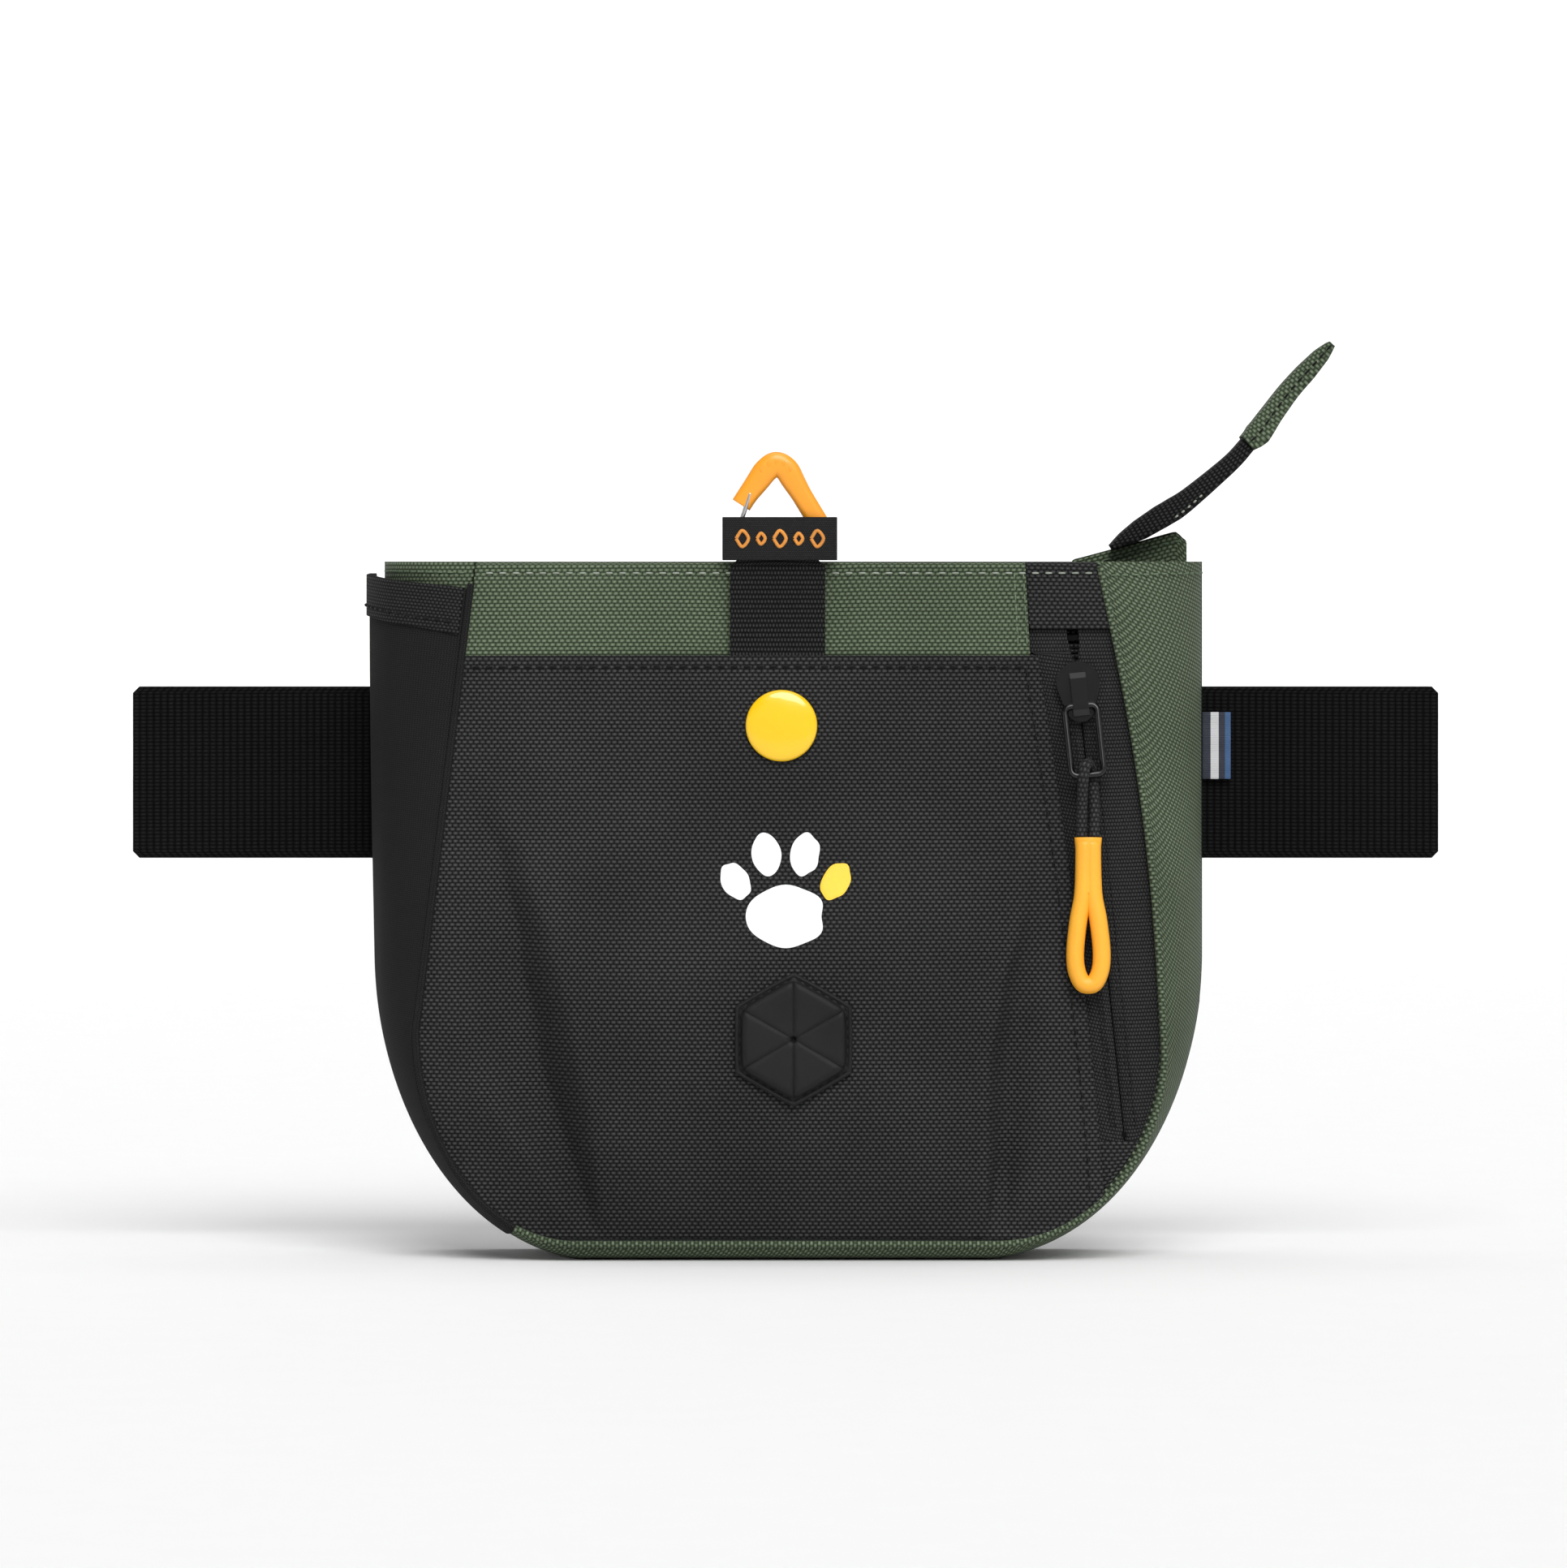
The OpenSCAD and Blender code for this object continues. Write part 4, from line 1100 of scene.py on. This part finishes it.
label_rows = [[np.array([x, label_y(x), z]) for x in np.linspace(lx0, lx1, 60)]
              for z in np.linspace(lz1, lz0, 24)]
label = grid_object("woven_label_cloth", label_rows, LABEL, thick=0.6, edge=0.2)
dress(label, "label_black", "front_wall", "woven_label")


def thread_shape(name, pts):
    path = smooth_path([np.array([x, label_y(x) - 0.1, z]) for x, z in pts], per=6)
    obj = sweep(name, path, ring(0.42, 8), THREAD_ORANGE)
    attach(obj, "front_wall")


lc, lm = (lx0 + lx1) / 2, (lz0 + lz1) / 2
for k in range(5):
    x = lc - 9.0 + 4.5 * k
    s = 1.5 if k % 2 == 0 else 1.0
    diamond = [(x - s, lm), (x, lm + s * 1.3), (x + s, lm), (x, lm - s * 1.3), (x - s, lm)]
    thread_shape(f"label_motif_{k}", diamond)

bar_y = rim[1]
outline = [(-10.7, 13.6), (-9.2, 15.9), (-6.9, 19.0), (-4.6, 22.0), (-2.3, 23.4), (0.1, 22.2), (1.9, 19.3),
           (4.6, 14.8), (7.5, 10.0), (9.4, 6.8), (10.0, 4.9), (8.4, 4.2), (2.0, 4.2), (-6.0, 4.2),
           (-11.6, 4.2)]
clip_path = smooth_path([np.array([x, bar_y, BODY_H + z]) for x, z in outline], per=7)
sizes = []
for p in clip_path:
    h = p[2] - BODY_H
    r = 2.5 + 0.5 * ease((h - 15) / 7) if h > 9 else mix(1.75, 2.5, clamp((h - 4.2) / 4.8))
    sizes.append((r, min(r, 2.45)))
soft_square = [tuple(math.copysign(abs(c) ** 0.7, c) for c in (cos(a), sin(a)))
               for a in np.linspace(0, 2 * pi, 28, endpoint=False)]
clip = sweep("gear_clip_frame", clip_path, soft_square, ORANGE, scale=sizes)
dress(clip, "clip_plastic", "gear_clip", "clip_body")
for k, (x, z) in enumerate(((-5.9, 22.1), (-4.1, 23.4), (-2.3, 23.9), (-0.5, 23.5), (1.1, 22.2))):
    tip = np.array([x, bar_y - 2.36, BODY_H + z])
    notch = lathe(f"clip_dimple_{k}", [(0.62, 0.0), (0.5, 0.14), (0.3, 0.18)], ORANGE,
                  lambda a, b, h, t=tip: t + np.array([a * 0.55, -h, b * 1.1]), sides=20)
    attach(notch, "gear_clip")


# ------------------------------------------------------------------ stretch pocket on the left
def pocket_wall(t, s, out):
    p = wall_point(-1, t, s)
    puff = 1.2 + 3.2 * ease((s - 0.04) / 0.5) * (1 - 0.4 * ease((s - 0.8) / 0.2)) * (1 - ease(t / 0.8))
    lift = clamp((t - 0.42) / 0.42)
    n = np.array([-mix(1.0, 0.35, lift), -0.25 * (1 - s), -0.9 * lift])
    n /= np.linalg.norm(n)
    return p + n * (puff * (1 - 0.72 * ease((t - 0.45) / 0.35)) + out)


DROP = (6.2, 3.3)
PER_MM = 0.42 / (BODY_H - 55.0)


def below_rim(s, drop):
    """The outline's t at a depth below the pocket's own sloping top edge."""
    return (mix(DROP[0], DROP[1], s) + drop) * PER_MM


side_grid = [[pocket_wall(mix(below_rim(s, 0.5), T_END, i / 120), s, 0.0)
              for s in np.linspace(0.0, 0.985, 34)] for i in range(121)]
side_pocket = bake(grid_object("stretch_pocket_fabric", side_grid, TWILL, thick=1.1, face=(-1, -0.5, -0.3)))
stand_in(side_pocket, "stretch_fabric", "stretch_pocket")
bend_with_mouth(side_pocket)
band_grid = [[pocket_wall(below_rim(s, d), s, 0.75) for s in np.linspace(0.0, 0.985, 40)]
             for d in np.linspace(0, 11.4, 14)]
side_binding = bake(grid_object("stretch_pocket_top_binding", band_grid, BINDING, thick=1.8,
                                face=(-1, -0.5, 0)))
stand_in(side_binding, "webbing", "stretch_pocket_binding")
bend_with_mouth(side_binding)
side_line = [pocket_wall(below_rim(s, 8.6), s, 0.85) for s in np.linspace(0.02, 0.97, 60)]
side_row = stitches("stretch_binding_stitch", side_line,
                    (-0.8, -0.6, 0), THREAD_DARK, length=1.8, space=1.2, r=0.28)
bend_with_mouth(side_row)

# ------------------------------------------------------------------ closing flap, pull strap, tab, side label
fx0, fx1 = box_mm("gusset_flap")[:2]


def flap_top(x):
    return BODY_H + 0.2 + 6.8 * clamp((x - 69.5) / 24.9)


flap_rows = []
for z_q in np.linspace(0, 1, 18):
    row = []
    for x in np.linspace(fx0, fx1, 34):
        top = flap_top(x) + 0.2 - 2.0 * ease((x - 94.6) / 2.8)
        z = mix(top, BODY_H - 12, z_q)
        row.append(np.array([x, 13.2 + 0.5 * sin(x * 0.22) * z_q, z]))
    flap_rows.append(row)
flap_cloth = grid_object("closing_flap_fabric", flap_rows, GREEN, thick=3.4, edge=0.8)
dress(flap_cloth, "green_fabric", "bag", "gusset_flap")
flap_line = [np.array([x, 12.9, flap_top(x) - 2.0]) for x in np.linspace(70.5, 96, 60)]
stitches("closing_flap_stitch", flap_line,
                    (0, -1, 0), THREAD_GREEN, length=1.7, space=1.2, r=0.24, body="bag")
for tag, side, start in (("right", 1, 0.012), ("left", -1, 0.010)):
    line = [wall_point(side, start, s) + np.array([side * 0.15, -0.1, 0])
            for s in np.linspace(0.02, 0.95, 60)]
    row = stitches(tag + "_rim_stitch", line, (side * 0.7, -0.7, 0), THREAD_GREEN,
                   length=1.7, space=1.3, r=0.24)
    bend_with_mouth(row)


def slab_sweep(name, path_xz, thick, y0, y1, mat):
    """A thick strap seen edge-on: path in x and z, width along y, rounded at its edges."""
    count = len(path_xz)
    verts, uvs = [], []
    half_w = (y1 - y0) / 2
    mid = (y0 + y1) / 2
    section = []
    for cx, cy, a0 in ((1, 1, 0), (-1, 1, 90), (-1, -1, 180), (1, -1, 270)):
        for k in range(5):
            section.append((cx, cy, radians(a0 + 22.5 * k)))
    run = 0.0
    for i, p in enumerate(path_xz):
        a, b = np.array(path_xz[max(i - 1, 0)]), np.array(path_xz[min(i + 1, count - 1)])
        t = (b - a) / np.linalg.norm(b - a)
        nrm = np.array([-t[1], t[0]])
        th = thick(i / (count - 1)) / 2
        if i:
            run += math.dist(path_xz[i], path_xz[i - 1])
        r = min(th * 0.8, 1.2)
        for cx, cy, ang in section:
            across = cx * (half_w - r) + r * cos(ang)
            up = cy * (th - r) + r * sin(ang)
            q = np.array(p) + nrm * up
            verts.append(np.array([q[0], mid + across, q[1]]))
            uvs.append((across + up, run))
    return new_object(name, verts, tube_faces(count, len(section)), mat, uvs)


def along_path(stops):
    """Points of (x, z, half thickness) made into a smooth path and its thickness."""
    path = smooth_path([(x, z) for x, z, _ in stops], per=8)
    halves = [h for _, _, h in stops]
    return path, lambda q: 2 * float(np.interp(q * (len(halves) - 1), range(len(halves)), halves))


strap_mid, strap_thick = along_path([(79.0, 170.8, 0.6), (82.1, 172.7, 1.7), (86.0, 175.0, 2.5),
                                     (91.0, 178.1, 2.8), (94.5, 180.2, 2.8), (98.0, 182.7, 2.5),
                                     (104.0, 187.7, 2.2), (109.0, 192.2, 2.0), (112.8, 196.6, 1.9)])
pull_strap = slab_sweep("pull_strap_webbing", strap_mid, strap_thick, 5.0, 23.0, WEB)
stand_in(pull_strap, "webbing", "tab_strap", "strap_anchor")
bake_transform(pull_strap)
strap_line = [np.array([x, 4.9, z]) for x, z in ((93.5, 177.4), (97.0, 180.0), (101.0, 183.6))]
stitches("pull_strap_stitch", strap_line,
                     (0, -1, 0), THREAD_GREY, length=0.9, space=1.0, r=0.24, body="pull_strap")
tab_mid, tab_thick = along_path([(111.9, 195.9, 2.2), (114.6, 198.3, 3.0), (118.0, 203.1, 2.6),
                                 (122.2, 208.7, 2.4), (126.2, 213.2, 2.3), (130.0, 217.4, 1.8),
                                 (132.3, 220.0, 0.9)])
tab = slab_sweep("pull_tab_fabric", tab_mid, tab_thick, 4.0, 24.0, GREEN)
dress(tab, "green_fabric", "pull_strap", "pull_tab")
stitches("pull_tab_seam", [np.array([p[0], 3.9, p[1]]) for p in tab_mid], (0, -1, 0), THREAD_DARK,
                    length=1.6, space=1.0, r=0.26, body="pull_strap")

sl = box_mm("side_label")


def striped(name, stops):
    mat = material(name, rough=0.7, sheen=0.1)
    n = Nodes(mat)
    x, y, z = n.split(n.uv())
    pos = n.math("MULTIPLY", x, 100.0 / (sl[1] - sl[0]))
    ramp = n.ramp(pos, stops)
    n.tree.nodes[-1].color_ramp.interpolation = "CONSTANT"
    n.colour(ramp)
    weave = n.math("ABSOLUTE", n.math("SINE", n.math("MULTIPLY", y, 100.0 * 7)))
    n.bump(weave, 0.00005)
    n.roughness(n.noise(n.object_coords(), 900.0), 0.55, 0.8)
    return mat


NAVY = (0.012, 0.016, 0.03)
STRIPES = striped("label_stripes", [(0.0, NAVY), (0.30, (0.55, 0.55, 0.56)), (0.58, NAVY),
                                    (0.8, (0.03, 0.085, 0.20))])
side_label_rows = [[np.array([x, sl[2] + 0.1 * sin(z), z]) for x in np.linspace(sl[0], sl[1], 12)]
                   for z in np.linspace(sl[5], sl[4], 20)]
label_side = grid_object("side_label_cloth", side_label_rows, STRIPES, thick=0.7, edge=0.2)
dress(label_side, "label_blue", "bag", "side_label")

# ------------------------------------------------------------------ stage, light and camera
PAPER = moulded("studio_paper", (0.88, 0.88, 0.88), (0.87, 0.87, 0.87), rough=0.9)


def studio_dish():
    """A pale floor that curves up into a low wall all round, the same from every side."""
    flat, reach, height = 4500.0, 3000.0, 3200.0
    rings = [(flat * q, -0.1) for q in np.linspace(0.02, 1, 6)]
    for q in np.linspace(0.1, 1, 14):
        a = q * pi / 2
        rings.append((flat + reach * sin(a), -0.1 + height * (1 - cos(a))))
    sides = 96
    verts = [(x, y, z) for r, z in rings for x, y in ring(r, sides)]
    faces = grid_faces(len(rings), sides, closed=True) + [tuple(range(sides - 1, -1, -1))]
    obj = new_object("studio_floor", verts, flipped(faces), PAPER)


studio_dish()
world = bpy.data.worlds.new("studio")
scene.world = world
world.use_nodes = True
world.node_tree.nodes["Background"].inputs[0].default_value = (1.0, 1.0, 1.0, 1.0)
world.node_tree.nodes["Background"].inputs[1].default_value = 0.12


def broad_light(name, towards, strength, spread):
    """A far, wide, soft light that shines the same way everywhere."""
    light = bpy.data.lights.new(name, "SUN")
    light.energy = strength
    light.angle = radians(spread)
    obj = bpy.data.objects.new(name, light)
    scene.collection.objects.link(obj)
    obj.location = [-4 * c for c in towards]
    obj.rotation_mode = "QUATERNION"
    obj.rotation_quaternion = Vector(towards).to_track_quat("-Z", "Y")


broad_light("key", (-0.2, 1.0, -0.95), 2.6, 40)
broad_light("side", (-0.9, 0.55, -0.5), 0.3, 40)
broad_light("top", (0.0, -0.15, -1.0), 1.0, 60)

cam_data = bpy.data.cameras.new("camera")
camera = bpy.data.objects.new("camera", cam_data)
scene.collection.objects.link(camera)
VIEW_W, DIST = 0.3757, 2.5
cam_data.lens = cam_data.sensor_width * DIST / VIEW_W
camera.location = (-0.0005, -0.02 - DIST, 0.167)
camera.rotation_euler = (pi / 2, 0, 0)
cam_data.shift_y = (0.1140 - 0.167) / VIEW_W
cam_data.clip_end = 20
scene.camera = camera
scene.view_settings.view_transform = "Standard"
